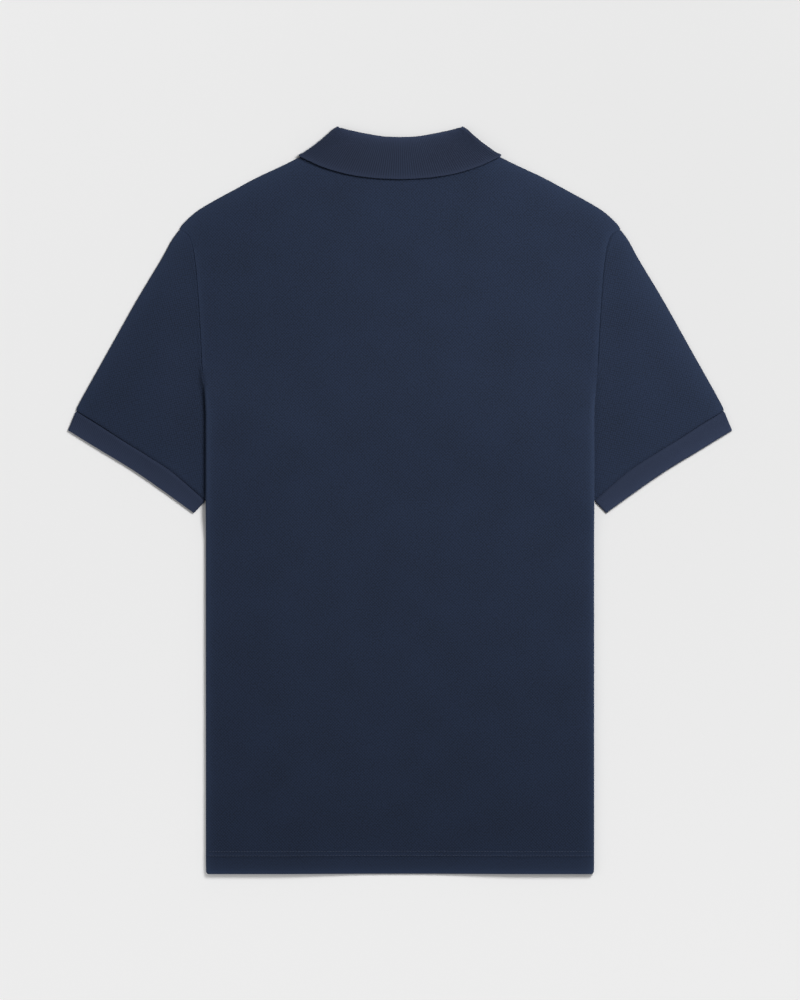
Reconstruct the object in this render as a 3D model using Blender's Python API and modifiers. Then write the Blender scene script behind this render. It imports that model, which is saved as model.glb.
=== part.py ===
"""Polo shirt, laid flat with its back up and the sides of its body tucked under.

Frame: metres, +X across the shirt, +Y from the hem to the collar, +Z up from the surface it lies on.
The outline's middle is at x = 0, y = 0. Lengths in the tables are millimetres, and MM turns them.

Each cloth piece is a wall. A grid of points lies on the middle of the cloth, a normal goes with each
point, and the wall's two faces are the points moved half the thickness out and in along it.
"""
import math

import bmesh
import bpy
import numpy as np

MM = 0.001
X_AXIS = np.array([1.0, 0.0, 0.0])
UP = np.array([0.0, 0.0, 1.0])


def table(columns, *rows):
    """A short table: one array in metres for each named column."""
    return dict(zip(columns.split(), np.array(rows, float).T * MM))


def points(rows):
    """Plan points in metres, from the x and y columns of a table."""
    return np.column_stack([rows["x"], rows["y"]])


# Cloth
PIQUE = 1.0 * MM  # thickness of the body, sleeves and placket
LAYER = 1.6 * MM  # from one layer of pique to the next, middle to middle
CUFF_RIB = 1.2 * MM
CUFF_LAYER = 1.8 * MM
COLLAR_RIB = 1.3 * MM
SEAM = 0.3 * MM  # gap between two pieces that are sewn together
ARMHOLE_SEAM = 0.45 * MM
CURVED_SEAM = 1.0 * MM  # where straight edges of different lengths follow one curve
NECK_SEAM = 1.3 * MM

# Body: the cloth's edge, from the hem up the side fold and the armhole seam
BODY_EDGE = table(
    "y x",
    (-366.5, 189.6),
    (85.0, 189.6),
    (100.0, 190.4),
    (118.0, 192.2),
    (131.9, 193.6),
    (161.3, 195.0),
    (197.6, 197.2),
    (227.0, 199.5),
    (245.6, 202.1),
)
ARMHOLE_TOP = table("x y", (202.1, 245.6), (206.9, 259.3), (215.2, 264.6))
SHOULDER = table(
    "x y",
    (85.3, 343.8),
    (98.6, 335.3),
    (122.5, 323.0),
    (143.1, 313.2),
    (161.7, 303.4),
    (180.3, 293.6),
    (197.0, 283.8),
    (208.7, 274.0),
    (216.2, 265.2),
)
SHOULDER_RETURN = 12 * MM  # how far the back goes round the shoulder, under to the front
RETURN_INSET = 0.6 * MM  # how far its corner stays clear of the armhole seam
SHOULDER_STEPS = 4

# Rows of points up the body, and columns out from its middle
TUCK_ROWS = (-366.5, -349, -280, -190, -110, -60, -35, -15, 5, 25, 45, 60, 75, 90, 100)
ARMHOLE_ROWS = (112, 121, 131.9, 146, 161.3, 180, 197.6, 227, 245.6)
YOKE_ROWS = 5
COLUMN_X = np.array((0, 16.3, 34, 52, 68, 84.3, 96, 104, 112, 120, 128, 142, 158, 174, 187.2)) * MM
NECK_COLUMN = 5
FOLD_STEPS = 6
FLAP_STEPS = 4
SEAM_STEPS = 4

# The tucked sides: each is folded under at the side and ends at the side seam
SIDE_SEAM_X = 132 * MM
UNDERARM = np.array([132, 62]) * MM
TUCK_START = np.array([190, 100]) * MM
FLAP_LEVEL_FROM = -110 * MM  # below this the flap's rows run straight across
UNFOLDED_FROM = 131.9 * MM  # above this the body's edge lies flat
BACK_FOLD = 1.5 * LAYER  # radius of the back's side fold, round the front's
FRONT_FOLD = 0.5 * LAYER

# What lies under the back lifts it: each lift is full up to a margin and fades over a ramp
TUCK_MARGIN = 4 * MM
FRONT_SIDE_RAMP = 30 * MM
BACK_SIDE_RAMP = 60 * MM
ARMHOLE_RAMP = 28 * MM  # at the side, across the tuck's slanted upper end
ARMHOLE_SPREAD = 0.6  # how much that ramp of the back widens for each metre towards the middle
SLEEVE_RISE = 3.4 * MM  # how much the sleeve lifts what lies on it
SLEEVE_MARGIN = 8 * MM
SLEEVE_RAMP = 20 * MM
NECK_MARGIN = 5 * MM
NECK_RAMP = 36 * MM
PLACKET_MARGIN = 3 * MM
PLACKET_RAMP = 40 * MM

# Sleeves and cuffs
UNDER_ARMHOLE = table("x y", (193.1, 123), (189.5, 110), (176, 91.5), (154, 76.4), (132, 62))
SLEEVE_FOLD = table(
    "x y",
    (216.2, 264.8),
    (223.4, 254.4),
    (234.2, 234.8),
    (257.7, 195.6),
    (285.2, 146.6),
    (312.6, 97.6),
    (317.3, 87.3),
)
CUFF_SEAM = table(
    "x y", (317.3, 87.3), (295.7, 74.3), (270.7, 58), (245.7, 42.4), (220.7, 25.6), (190.2, -1.0)
)
CUFF_EDGE = table(
    "x y", (325.4, 67.7), (294.0, 48.6), (261.7, 29.0), (233.2, 9.4), (202.0, -13.4)
)
SLEEVE_ROWS = 7
CUFF_ROWS = 3
CUFF_COLUMNS = 14
TUBE_STEPS = 4

# Collar: plan places of the stand's lower edge, the fold and the fall's free edge
COLLAR_BACK = table(
    "neck_x neck_y fold_x fold_y free_x free_y",
    (0.0, 322.0, 0.0, 353.4, 0.0, 313.1),
    (21.5, 323.0, 16.3, 354.1, 26.0, 314.4),
    (43.0, 326.4, 32.5, 356.8, 51.5, 318.2),
    (64.5, 333.4, 48.0, 360.1, 76.0, 325.4),
    (84.8, 344.9, 61.5, 363.7, 97.5, 335.0),
)
COLLAR_FRONT = table(
    "neck_x neck_y fold_x fold_y free_x free_y",
    (84.8, 344.9, 61.5, 363.7, 97.5, 335.0),
    (66.0, 308.0, 46.0, 326.0, 84.5, 291.0),
    (38.0, 276.0, 24.0, 293.0, 66.0, 250.0),
    (1.5, 262.0, 1.5, 270.0, 46.5, 219.0),
)
COLLAR_RIBS = 42  # from the middle of the back to the side, about 2 mm apart
RIB_RAISE = 0.3 * MM
RIB_BORDER = 3 * MM  # plain knit along the free edge
COLLAR_TURN_STEPS = 6
COLLAR_FRONT_STEPS = 12
COLLAR_FOLD_STEPS = 4
STAND_OUT = 0.8 * MM  # middle of the stand from the middle of the flattened neck
FALL_OUT = 2.5 * MM
COLLAR_MIDDLE = FALL_OUT + COLLAR_RIB / 2  # the fall's front half rests on the surface

# Placket and buttons
PLACKET_WIDTH = 32 * MM
PLACKET_BOTTOM = 112 * MM
PLACKET_TOP = 262 * MM
BUTTON_RADIUS = 5.7 * MM
BUTTON_THICK = 1.6 * MM
BUTTON_RIM = 1.1 * MM
BUTTON_DISH = 0.35 * MM
BUTTON_HOLE_RADIUS = 0.8 * MM
BUTTON_HOLE_OUT = 1.7 * MM
BUTTON_Y = (250 * MM, 197 * MM, 144 * MM)
BUTTONHOLE = (0.8 * MM, 12.5 * MM)
NECK_RISE = BUTTON_THICK + SEAM  # how much the collar's leaves and the buttons lift the front
BAND_RISE = PIQUE + SEAM  # how much more the under band lifts the back

NAVY_PIQUE = (0.016, 0.025, 0.048, 1)
NAVY_RIB = (0.019, 0.028, 0.053, 1)
NAVY_BUTTON = (0.010, 0.014, 0.026, 1)


def fade(distance, margin, ramp):
    """1 up to the margin, then a soft slope down to 0 over the ramp."""
    t = np.clip((distance - margin) / ramp, 0, 1)
    return 1 - t * t * (3 - 2 * t)


def left_of(start, end, x, y):
    """How far points lie to the left of the line from start to end."""
    along = (end - start) / np.linalg.norm(end - start)
    return along[0] * (y - start[1]) - along[1] * (x - start[0])


def curve(through, at):
    """A smooth curve (cubic, with central tangents) through points, at these fractions of its rows."""
    through = np.asarray(through, float)
    place = np.clip(np.asarray(at, float), 0, 1) * (len(through) - 1)
    first = np.minimum(place.astype(int), len(through) - 2)
    t = (place - first)[:, None]
    slope = np.gradient(through, axis=0)
    return (
        (2 * t**3 - 3 * t**2 + 1) * through[first]
        + (t**3 - 2 * t**2 + t) * slope[first]
        + (3 * t**2 - 2 * t**3) * through[first + 1]
        + (t**3 - t**2) * slope[first + 1]
    )


def spaced(through, at):
    """The same curve at these fractions of its length."""
    fine = curve(through, np.linspace(0, 1, 40 * len(through)))
    run = np.concatenate([[0], np.cumsum(np.linalg.norm(np.diff(fine, axis=0), axis=1))])
    return np.column_stack([np.interp(np.asarray(at) * run[-1], run, line) for line in fine.T])


def left_normals(line):
    """The unit plan normals to the left of a line of points."""
    along = np.gradient(line, axis=0)
    along /= np.linalg.norm(along, axis=1)[:, None]
    return np.column_stack([-along[:, 1], along[:, 0]])


def ruled(first, last, left, right, rows):
    """Plan grid of straight lines from one edge to the other, with its sides pulled to their curves."""
    down = np.linspace(0, 1, rows)[:, None, None]
    across = np.linspace(0, 1, len(first))[None, :, None]
    grid = (1 - down) * first + down * last
    for side, ends, weight in ((left, 0, (1 - across) ** 4), (right, -1, across**4)):
        line = spaced(side, down.ravel())[:, None, :]
        grid = grid + weight * (line - (1 - down) * first[ends] - down * last[ends])
    return grid


def roll(start, outward, up, radius, steps, turn=1.0, flat_radius=None):
    """Chords of a half circle that leave start going outward and come back on its other side.

    turn is 1 for the half circle and 0 for the same cloth lying flat, and flat_radius gives the
    length that it then has. Returns the points and normals after each chord.
    """
    turn = np.broadcast_to(turn, len(start))[:, None]
    size = turn * radius + (1 - turn) * (flat_radius or radius)
    chord = 2 * size * math.sin(math.pi / (2 * steps))
    place, places, normals = start, [], []
    for step in range(1, steps + 1):
        heading = turn * math.pi * (step - 0.5) / steps
        facing = turn * math.pi * step / steps
        place = place + chord * (np.cos(heading) * outward - np.sin(heading) * up)
        places.append(place)
        normals.append(np.cos(facing) * up + np.sin(facing) * outward)
    return np.stack(places, axis=1), np.stack(normals, axis=1)


def lifted(plan, level):
    """Plan points raised to a level, one number or one for each point."""
    return np.concatenate([plan, np.broadcast_to(level, plan.shape[:-1])[..., None]], axis=-1)


def material(name, colour, roughness):
    """A Principled BSDF with this colour and roughness."""
    made = bpy.data.materials.new(name)
    made.use_nodes = True
    shader = made.node_tree.nodes["Principled BSDF"]
    shader.inputs["Base Color"].default_value = colour
    shader.inputs["Roughness"].default_value = roughness
    shader.inputs["Metallic"].default_value = 0
    made.diffuse_color = colour
    return made


def add_object(name, mesh, finish, collection):
    """An object for a mesh, in the shirt's collection."""
    thing = bpy.data.objects.new(name, mesh)
    mesh.materials.append(finish)
    collection.objects.link(thing)
    return thing


def cloth(name, middle, normals, thickness, finish, collection, keep=None, ring=False, raised=0.0):
    """A closed wall on a grid of points, rows by columns.

    keep marks the cells that are cloth, ring joins the last column to the first, and raised lifts
    the outer points. A rim closes each free edge.
    """
    rows, columns = middle.shape[:2]
    outer = middle + normals * (thickness / 2 + np.broadcast_to(raised, (rows, columns))[..., None])
    inner = middle - normals * thickness / 2
    index = np.arange(rows * columns).reshape(rows, columns)
    if ring:
        index = np.column_stack([index, index[:, 0]])
    if keep is None:
        keep = np.ones((rows - 1, index.shape[1] - 1), bool)
    a, b = index[:-1, :-1][keep], index[:-1, 1:][keep]
    c, d = index[1:, 1:][keep], index[1:, :-1][keep]
    face = np.concatenate([np.column_stack([a, b, c]), np.column_stack([a, c, d])])
    edges = np.concatenate([face[:, [0, 1]], face[:, [1, 2]], face[:, [2, 0]]])
    count = rows * columns
    _, where, uses = np.unique(np.sort(edges, axis=1) @ (count, 1), return_index=True, return_counts=True)
    p, q = edges[where[uses == 1]].T
    rim = [np.column_stack([q, p, p + count]), np.column_stack([q, p + count, q + count])]
    faces = np.concatenate([face, face[:, ::-1] + count, *rim])
    used, faces = np.unique(faces, return_inverse=True)
    places = np.concatenate([outer.reshape(-1, 3), inner.reshape(-1, 3)])[used]
    mesh = bpy.data.meshes.new(name)
    mesh.from_pydata(places.tolist(), [], faces.reshape(-1, 3).tolist())
    work = bmesh.new()
    work.from_mesh(mesh)
    bmesh.ops.recalc_face_normals(work, faces=work.faces)
    work.to_mesh(mesh)
    work.free()
    mesh.shade_smooth()
    mesh.set_sharp_from_angle(angle=math.radians(40))
    return add_object(name, mesh, finish, collection)


def tucked(x, y, side_ramp, spread=0.0):
    """1 over the two layers of the tucked side, 0 clear of them."""
    above = left_of(UNDERARM, TUCK_START, abs(x), y)
    ramp = ARMHOLE_RAMP + spread * np.maximum(TUCK_START[0] - abs(x), 0)
    return fade(SIDE_SEAM_X - abs(x), TUCK_MARGIN, side_ramp) * fade(above, TUCK_MARGIN, ramp)


def sleeve_below(x, y, spread=0.0):
    """1 over the part of the sleeve that lies under the body, 0 clear of it."""
    above = left_of(UNDERARM, TUCK_START, abs(x), y)
    below = left_of(points(CUFF_SEAM)[-1], UNDERARM, abs(x), y)
    wider = spread * np.maximum(TUCK_START[0] - abs(x), 0)
    return fade(above, TUCK_MARGIN, ARMHOLE_RAMP + wider) * fade(below, SLEEVE_MARGIN, SLEEVE_RAMP + wider)


def placket_below(x, y, ends):
    """1 over the placket, 0 clear of it. ends says whether it also fades above the placket's top."""
    sides = fade(abs(x) - PLACKET_WIDTH / 2, PLACKET_MARGIN, PLACKET_RAMP)
    top = fade(y - PLACKET_TOP, PLACKET_MARGIN, PLACKET_RAMP) if ends else 1
    return sides * top * fade(PLACKET_BOTTOM - y, PLACKET_MARGIN, PLACKET_RAMP)


def neck_below(x, y):
    """1 over the collar's front leaves and the placket, 0 clear of them."""
    side, tip = (np.array([COLLAR_FRONT["free_x"][end], COLLAR_FRONT["free_y"][end]]) for end in (0, -1))
    outside = -left_of(tip, side, abs(x), y)
    leaves = fade(outside, NECK_MARGIN, NECK_RAMP) * fade(tip[1] - y, NECK_MARGIN, NECK_RAMP)
    return 1 - (1 - leaves) * (1 - placket_below(x, y, False))


def flap_level(x, y):
    """Middle of the back's cloth where it is tucked under, above the surface."""
    return PIQUE / 2 + SLEEVE_RISE * sleeve_below(x, y)


def front_level(x, y):
    """Middle of the front's upper layer."""
    lift = 2 * LAYER * tucked(x, y, FRONT_SIDE_RAMP) + SLEEVE_RISE * sleeve_below(x, y)
    return PIQUE / 2 + lift + NECK_RISE * neck_below(x, y)


def back_level(x, y):
    """Middle of the back, which spans softly from the tucked sides to the middle."""
    lift = 2 * LAYER * tucked(x, y, BACK_SIDE_RAMP, ARMHOLE_SPREAD)
    lift = lift + SLEEVE_RISE * sleeve_below(x, y, ARMHOLE_SPREAD)
    lift = lift + NECK_RISE * neck_below(x, y) + BAND_RISE * placket_below(x, y, True)
    return PIQUE / 2 + LAYER + lift


def collar_line(part, name, at):
    """Plan points of one of the collar's lines: neck, fold or free."""
    return curve(np.column_stack([part[name + "_x"], part[name + "_y"]]), at)


def armhole_top():
    """Plan points up the armhole's last stretch, one for each row of the back's yoke."""
    return spaced(points(ARMHOLE_TOP), np.linspace(0, 1, YOKE_ROWS + 1))


def top_edge(front, columns):
    """Plan points of a panel's top edge: the neckline out to the neck point, then the shoulder."""
    at = np.linspace(0, 1, 60)
    neck = collar_line(COLLAR_FRONT, "neck", at[::-1]) if front else collar_line(COLLAR_BACK, "neck", at)
    neck = neck - left_normals(neck) * (NECK_SEAM if front else CURVED_SEAM)
    shoulder = spaced(points(SHOULDER), at)
    inset = PIQUE / 2 + LAYER / 2 + (SHOULDER_RETURN + SEAM if front else 0)
    shoulder = shoulder - left_normals(shoulder) * inset
    if front:
        meet = np.argmin(np.linalg.norm(neck - shoulder[0], axis=1))
        neck = neck[: meet + 1]
        tip = armhole_top()[-2]
        inside = shoulder[2:][shoulder[2:, 0] < tip[0] - SHOULDER_RETURN]
        shoulder = np.concatenate([neck[-1:], inside, tip[None]])
    near = neck[neck[:, 0] > COLUMN_X[1]]
    start = [COLUMN_X[1], np.interp(COLUMN_X[1], neck[:, 0], neck[:, 1])]
    over_neck = spaced(np.concatenate([[start], near]), np.linspace(0, 1, NECK_COLUMN))
    over_neck = np.concatenate([[[0, neck[0, 1]]], over_neck])
    out = (columns[NECK_COLUMN + 1 :] - columns[NECK_COLUMN]) / (columns[-1] - columns[NECK_COLUMN])
    return np.concatenate([over_neck, spaced(shoulder, out)])


def body_panel(name, front, finish, collection):
    """The back or the front: a loft of sections from the hem to the neckline and shoulders.

    Half a section runs out from the middle, round the side fold and back under to the side seam. The
    front's lies inside the back's. Above the tuck only the upper layer is left, and the back goes on
    round the shoulders to meet the front.
    """
    level = front_level if front else back_level
    fold = FRONT_FOLD if front else BACK_FOLD
    y = np.array(TUCK_ROWS + ARMHOLE_ROWS) * MM
    turn = fade(y - TUCK_START[1], 0, UNFOLDED_FROM - TUCK_START[1])
    edge = np.interp(y, BODY_EDGE["y"], BODY_EDGE["x"])
    headings = np.pi * (np.arange(FOLD_STEPS // 2) + 0.5) / FOLD_STEPS
    chord = 2 * BACK_FOLD * math.sin(math.pi / (2 * FOLD_STEPS))
    reach = np.cos(turn[:, None] * headings).sum(axis=1) * chord
    x = COLUMN_X + (edge - reach - COLUMN_X[-1])[:, None] * (COLUMN_X / COLUMN_X[-1]) ** 3
    plan = np.stack([x, np.broadcast_to(y[:, None], x.shape)], axis=-1)
    middle = [lifted(plan, level(plan[..., 0], plan[..., 1]))]
    normals = [np.broadcast_to(UP, middle[0].shape)]
    bent = roll(middle[0][:, -1], X_AXIS, UP, fold, FOLD_STEPS, turn, BACK_FOLD)
    middle.append(bent[0])
    normals.append(bent[1])

    along = np.linspace(0, 1, FLAP_STEPS + 1)[1:]
    seam_x = SIDE_SEAM_X + (SEAM if front else 0)
    squeeze = (UNDERARM[1] - FLAP_LEVEL_FROM) / (TUCK_START[1] - FLAP_LEVEL_FROM)
    seam_y = np.where(y > FLAP_LEVEL_FROM, FLAP_LEVEL_FROM + (y - FLAP_LEVEL_FROM) * squeeze, y)
    flap_x = x[:, -1:] + (seam_x - x[:, -1:]) * along
    flap_y = y[:, None] + (seam_y - y)[:, None] * along
    flap = lifted(np.stack([flap_x, flap_y], axis=-1), flap_level(flap_x, flap_y) + (LAYER if front else 0))
    middle.append(flap)
    normals.append(np.broadcast_to(-UP, flap.shape))
    if not front:
        bent = roll(flap[:, -1], -X_AXIS, -UP, LAYER / 2, SEAM_STEPS)
        middle.append(bent[0])
        normals.append(bent[1])
    middle, normals = np.concatenate(middle, axis=1), np.concatenate(normals, axis=1)

    flat = len(COLUMN_X) + FOLD_STEPS // 2
    low, high = len(TUCK_ROWS), len(y)
    first = middle[-1, :flat, :2]
    last = top_edge(front, first[:, 0])
    yoke_rows = YOKE_ROWS - 1 if front else YOKE_ROWS
    side = armhole_top()[: yoke_rows + 1]
    yoke = ruled(first, last, np.array([first[0], last[0]]), side, yoke_rows + 1)[1:]
    added = [lifted(yoke, level(yoke[..., 0], yoke[..., 1]))]
    facing = [np.broadcast_to(UP, added[0].shape)]
    if not front:
        outward = lifted(left_normals(last[NECK_COLUMN:]), 0.0)
        outward = np.concatenate([np.repeat(outward[:1], NECK_COLUMN, 0), outward])
        bent = roll(added[0][-1], outward, UP, LAYER / 2, SHOULDER_STEPS)
        meets = top_edge(True, first[:, 0]) + outward[:, :2] * SEAM
        meets[-1] += (meets[-2] - meets[-1]) * RETURN_INSET / np.linalg.norm(meets[-2] - meets[-1])
        back = lifted(meets, front_level(meets[:, 0], meets[:, 1]))
        added += [bent[0].transpose(1, 0, 2), back[None]]
        facing += [bent[1].transpose(1, 0, 2), np.broadcast_to(-UP, back[None].shape)]
    added, facing = np.concatenate(added), np.concatenate(facing)
    spare = middle.shape[1] - flat
    middle = np.concatenate([middle, np.pad(added, ((0, 0), (0, spare), (0, 0)))])
    normals = np.concatenate([normals, np.pad(facing, ((0, 0), (0, spare), (0, 0)))])

    keep = np.zeros((len(middle) - 1, middle.shape[1] - 1), bool)
    keep[: low - 1] = True
    keep[low - 1 : high - 1 + yoke_rows, : flat - 1] = True
    keep[high - 1 + yoke_rows :, NECK_COLUMN : flat - 1] = True
    if front:
        keep[low + ARMHOLE_ROWS.index(PLACKET_BOTTOM / MM) :, 0] = False
    mirror = np.array([-1, 1, 1])
    middle = np.concatenate([middle[:, :0:-1] * mirror, middle], axis=1)
    normals = np.concatenate([normals[:, :0:-1] * mirror, normals], axis=1)
    keep = np.concatenate([keep[:, ::-1], keep], axis=1)
    return cloth(name, middle, normals, PIQUE, finish, collection, keep)


def flat_tube(name, plan, outer, inner, thickness, layer, side, finish, collection):
    """A sleeve or cuff: rings flattened to an upper and a lower layer that are rolled at both ends.

    plan is a grid of plan points, rows along the arm and columns from the upper fold to the underarm,
    and outer and inner are the plan directions in which the two ends roll.
    """
    low = thickness / 2
    upper, lower = lifted(plan, low + layer), lifted(plan[:, ::-1], low)
    under = roll(upper[:, -1], lifted(inner, 0.0), UP, layer / 2, TUBE_STEPS)
    over = roll(lower[:, -1], lifted(outer, 0.0), -UP, layer / 2, TUBE_STEPS)
    places = [upper, under[0][:, :-1], lower, over[0][:, :-1]]
    ups, downs = np.broadcast_to(UP, upper.shape), np.broadcast_to(-UP, lower.shape)
    facing = [ups, under[1][:, :-1], downs, over[1][:, :-1]]
    mirror = np.array([side, 1, 1])
    middle, normals = np.concatenate(places, axis=1) * mirror, np.concatenate(facing, axis=1) * mirror
    return cloth(name, middle, normals, thickness, finish, collection, ring=True)


def inset_grid(first, last, outer, inner, rows, inset):
    """Plan grid of a tube between its two ends, its folds drawn in from the outline by inset."""
    outer_line, inner_line = spaced(outer, np.linspace(0, 1, rows)), spaced(inner, np.linspace(0, 1, rows))
    grid = ruled(first, last, outer, inner, rows)
    outer_way, inner_way = left_normals(outer_line), -left_normals(inner_line)
    across = np.linspace(0, 1, grid.shape[1])[None, :, None]
    grid = grid - inset * (1 - across) ** 4 * outer_way[:, None] - inset * across**4 * inner_way[:, None]
    return grid, outer_way, inner_way


def armhole():
    """Plan points of the body's armhole edge, row by row from the shoulder down, then to the underarm."""
    y = np.array(ARMHOLE_ROWS) * MM
    y = y[y >= UNFOLDED_FROM][-2::-1]
    down = np.column_stack([np.interp(y, BODY_EDGE["y"], BODY_EDGE["x"]), y])
    return np.concatenate([armhole_top()[::-1], down, points(UNDER_ARMHOLE)])


def sleeve(side, finish, collection):
    """A sleeve, from the armhole seam to the cuff seam; its underarm lies tucked below the body."""
    first = armhole()
    first = first + left_normals(first) * ARMHOLE_SEAM
    run = np.concatenate([[0], np.cumsum(np.linalg.norm(np.diff(first, axis=0), axis=1))])
    last = spaced(points(CUFF_SEAM), run / run[-1])
    inner = np.array([first[-1], last[-1]])
    outer = points(SLEEVE_FOLD)
    grid, outer_way, inner_way = inset_grid(first, last, outer, inner, SLEEVE_ROWS, (PIQUE + LAYER) / 2)
    name = "sleeve_right" if side > 0 else "sleeve_left"
    return flat_tube(name, grid, outer_way, inner_way, PIQUE, LAYER, side, finish, collection)


def cuff(side, finish, collection):
    """A cuff band, sewn to the sleeve's end."""
    at = np.linspace(0, 1, CUFF_COLUMNS)
    seam = spaced(points(CUFF_SEAM), at)
    first = seam + left_normals(seam) * CURVED_SEAM
    last = spaced(points(CUFF_EDGE), at)
    outer, inner = np.array([first[0], last[0]]), np.array([first[-1], last[-1]])
    inset = (CUFF_RIB + CUFF_LAYER) / 2
    grid, outer_way, inner_way = inset_grid(first, last, outer, inner, CUFF_ROWS, inset)
    name = "cuff_right" if side > 0 else "cuff_left"
    return flat_tube(name, grid, outer_way, inner_way, CUFF_RIB, CUFF_LAYER, side, finish, collection)


def collar(finish, collection):
    """The collar: one knitted strip folded into stand and fall, flattened with the neck it goes round.

    Every point is a plan point plus a distance along a direction that is up at the back, turns
    outwards at the sides and is down at the front. Stand and fall are two such distances, and the
    fold between them is a half circle.
    """
    back_at = np.linspace(0, 1, 2 * COLLAR_RIBS + 1)
    front_at = np.linspace(0, 1, COLLAR_FRONT_STEPS + 1)
    turning = np.arange(1, COLLAR_TURN_STEPS) * math.pi / COLLAR_TURN_STEPS
    angle = np.concatenate([0 * back_at, turning, 0 * front_at + math.pi])
    lines = {}
    for name in ("neck", "fold", "free"):
        back = collar_line(COLLAR_BACK, name, back_at)
        front = collar_line(COLLAR_FRONT, name, front_at)
        line = np.concatenate([back, np.repeat(back[-1:], len(turning), 0), front])
        lines[name] = lifted(line, COLLAR_MIDDLE)
    neck, fold, free = lines["neck"], lines["fold"], lines["free"]
    side = len(back_at) - 1
    outward = np.cross(UP, fold[side] - free[side])
    outward /= -np.linalg.norm(outward)
    way = np.cos(angle)[:, None] * UP + np.sin(angle)[:, None] * outward
    up_stand = (fold - neck) / np.linalg.norm(fold - neck, axis=1)[:, None]
    length = np.linalg.norm(free - fold, axis=1)[:, None]
    border = fold + (free - fold) * (1 - RIB_BORDER / length)
    radius = (FALL_OUT - STAND_OUT) / 2
    places = [neck + way * STAND_OUT, fold + way * STAND_OUT]
    normals = [-way, -way]
    for step in range(1, COLLAR_FOLD_STEPS):
        bend = math.pi * step / COLLAR_FOLD_STEPS
        facing = math.sin(bend) * up_stand - math.cos(bend) * way
        places.append(fold + way * (STAND_OUT + FALL_OUT) / 2 + radius * facing)
        normals.append(facing)
    places += [line + way * FALL_OUT for line in (fold, border, free)]
    normals += [way] * 3
    ribbed = np.zeros((len(places), len(angle)))
    ribbed[2:-2, 1 : 2 * COLLAR_RIBS : 2] = RIB_RAISE
    mirror = np.array([-1, 1, 1])
    middle, facing = np.stack(places), np.stack(normals)
    middle = np.concatenate([middle[:, :0:-1] * mirror, middle], axis=1)
    facing = np.concatenate([facing[:, :0:-1] * mirror, facing], axis=1)
    ribbed = np.concatenate([ribbed[:, :0:-1], ribbed], axis=1)
    return cloth("collar", middle, facing, COLLAR_RIB, finish, collection, raised=ribbed)


def box(name, low, high, finish, collection):
    """A box between two corners."""
    mesh = bpy.data.meshes.new(name)
    work = bmesh.new()
    bmesh.ops.create_cube(work, size=1)
    low, high = np.array(low), np.array(high)
    for corner in work.verts:
        corner.co = (low + high) / 2 + np.array(corner.co) * (high - low)
    work.to_mesh(mesh)
    work.free()
    return add_object(name, mesh, finish, collection)


def cut(thing, cutter):
    """Cuts one object with another, which stays as a guide."""
    cutter.hide_render = True
    cutter.display_type = "WIRE"
    boolean = thing.modifiers.new(cutter.name, "BOOLEAN")
    boolean.operation = "DIFFERENCE"
    boolean.object = cutter


def placket(finish, collection, cutters):
    """The two bands in the front's slit. The outer one has an upright buttonhole over each button."""
    half = PLACKET_WIDTH / 2
    bottom, top = PLACKET_BOTTOM + SEAM, PLACKET_TOP - SEAM
    for name, base in (("placket_outer", NECK_RISE), ("placket_inner", NECK_RISE + BAND_RISE)):
        band = box(name, (-half, bottom, base), (half, top, base + PIQUE), finish, collection)
        if name == "placket_outer":
            for number, y in enumerate(BUTTON_Y, 1):
                wide, long = BUTTONHOLE
                low = (-wide / 2, y - long / 2, base - PIQUE)
                high = (wide / 2, y + long / 2, base + 2 * PIQUE)
                cut(band, box(f"buttonhole_{number}", low, high, finish, cutters))


def button(number, y, finish, collection, cutters):
    """A moulded button with a raised rim and four holes, its face on the surface."""
    name = f"button_{number}"
    profile = (
        (0, BUTTON_THICK),
        (BUTTON_RADIUS - BUTTON_RIM / 2, BUTTON_THICK),
        (BUTTON_RADIUS, BUTTON_THICK - BUTTON_RIM / 2),
        (BUTTON_RADIUS, BUTTON_RIM / 4),
        (BUTTON_RADIUS - BUTTON_RIM / 4, 0),
        (BUTTON_RADIUS - 3 * BUTTON_RIM / 4, 0),
        (BUTTON_RADIUS - 5 * BUTTON_RIM / 4, BUTTON_DISH),
        (0, BUTTON_DISH),
    )
    mesh = bpy.data.meshes.new(name)
    edges = [(start, start + 1) for start in range(len(profile) - 1)]
    mesh.from_pydata([(x, 0, z) for x, z in profile], edges, [])
    thing = add_object(name, mesh, finish, collection)
    thing.location.y = y
    screw = thing.modifiers.new("turned", "SCREW")
    screw.steps = screw.render_steps = 28
    screw.use_merge_vertices = True
    screw.merge_threshold = 0.00001
    for hole in range(4):
        turn = math.pi * (0.25 + hole / 2)
        mesh = bpy.data.meshes.new(f"{name}_hole_{hole}")
        work = bmesh.new()
        radius = BUTTON_HOLE_RADIUS
        bmesh.ops.create_cone(
            work, cap_ends=True, segments=10, radius1=radius, radius2=radius, depth=4 * BUTTON_THICK
        )
        work.to_mesh(mesh)
        work.free()
        cutter = add_object(mesh.name, mesh, finish, cutters)
        cutter.location = (BUTTON_HOLE_OUT * math.cos(turn), y + BUTTON_HOLE_OUT * math.sin(turn), 0)
        cut(thing, cutter)


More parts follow.
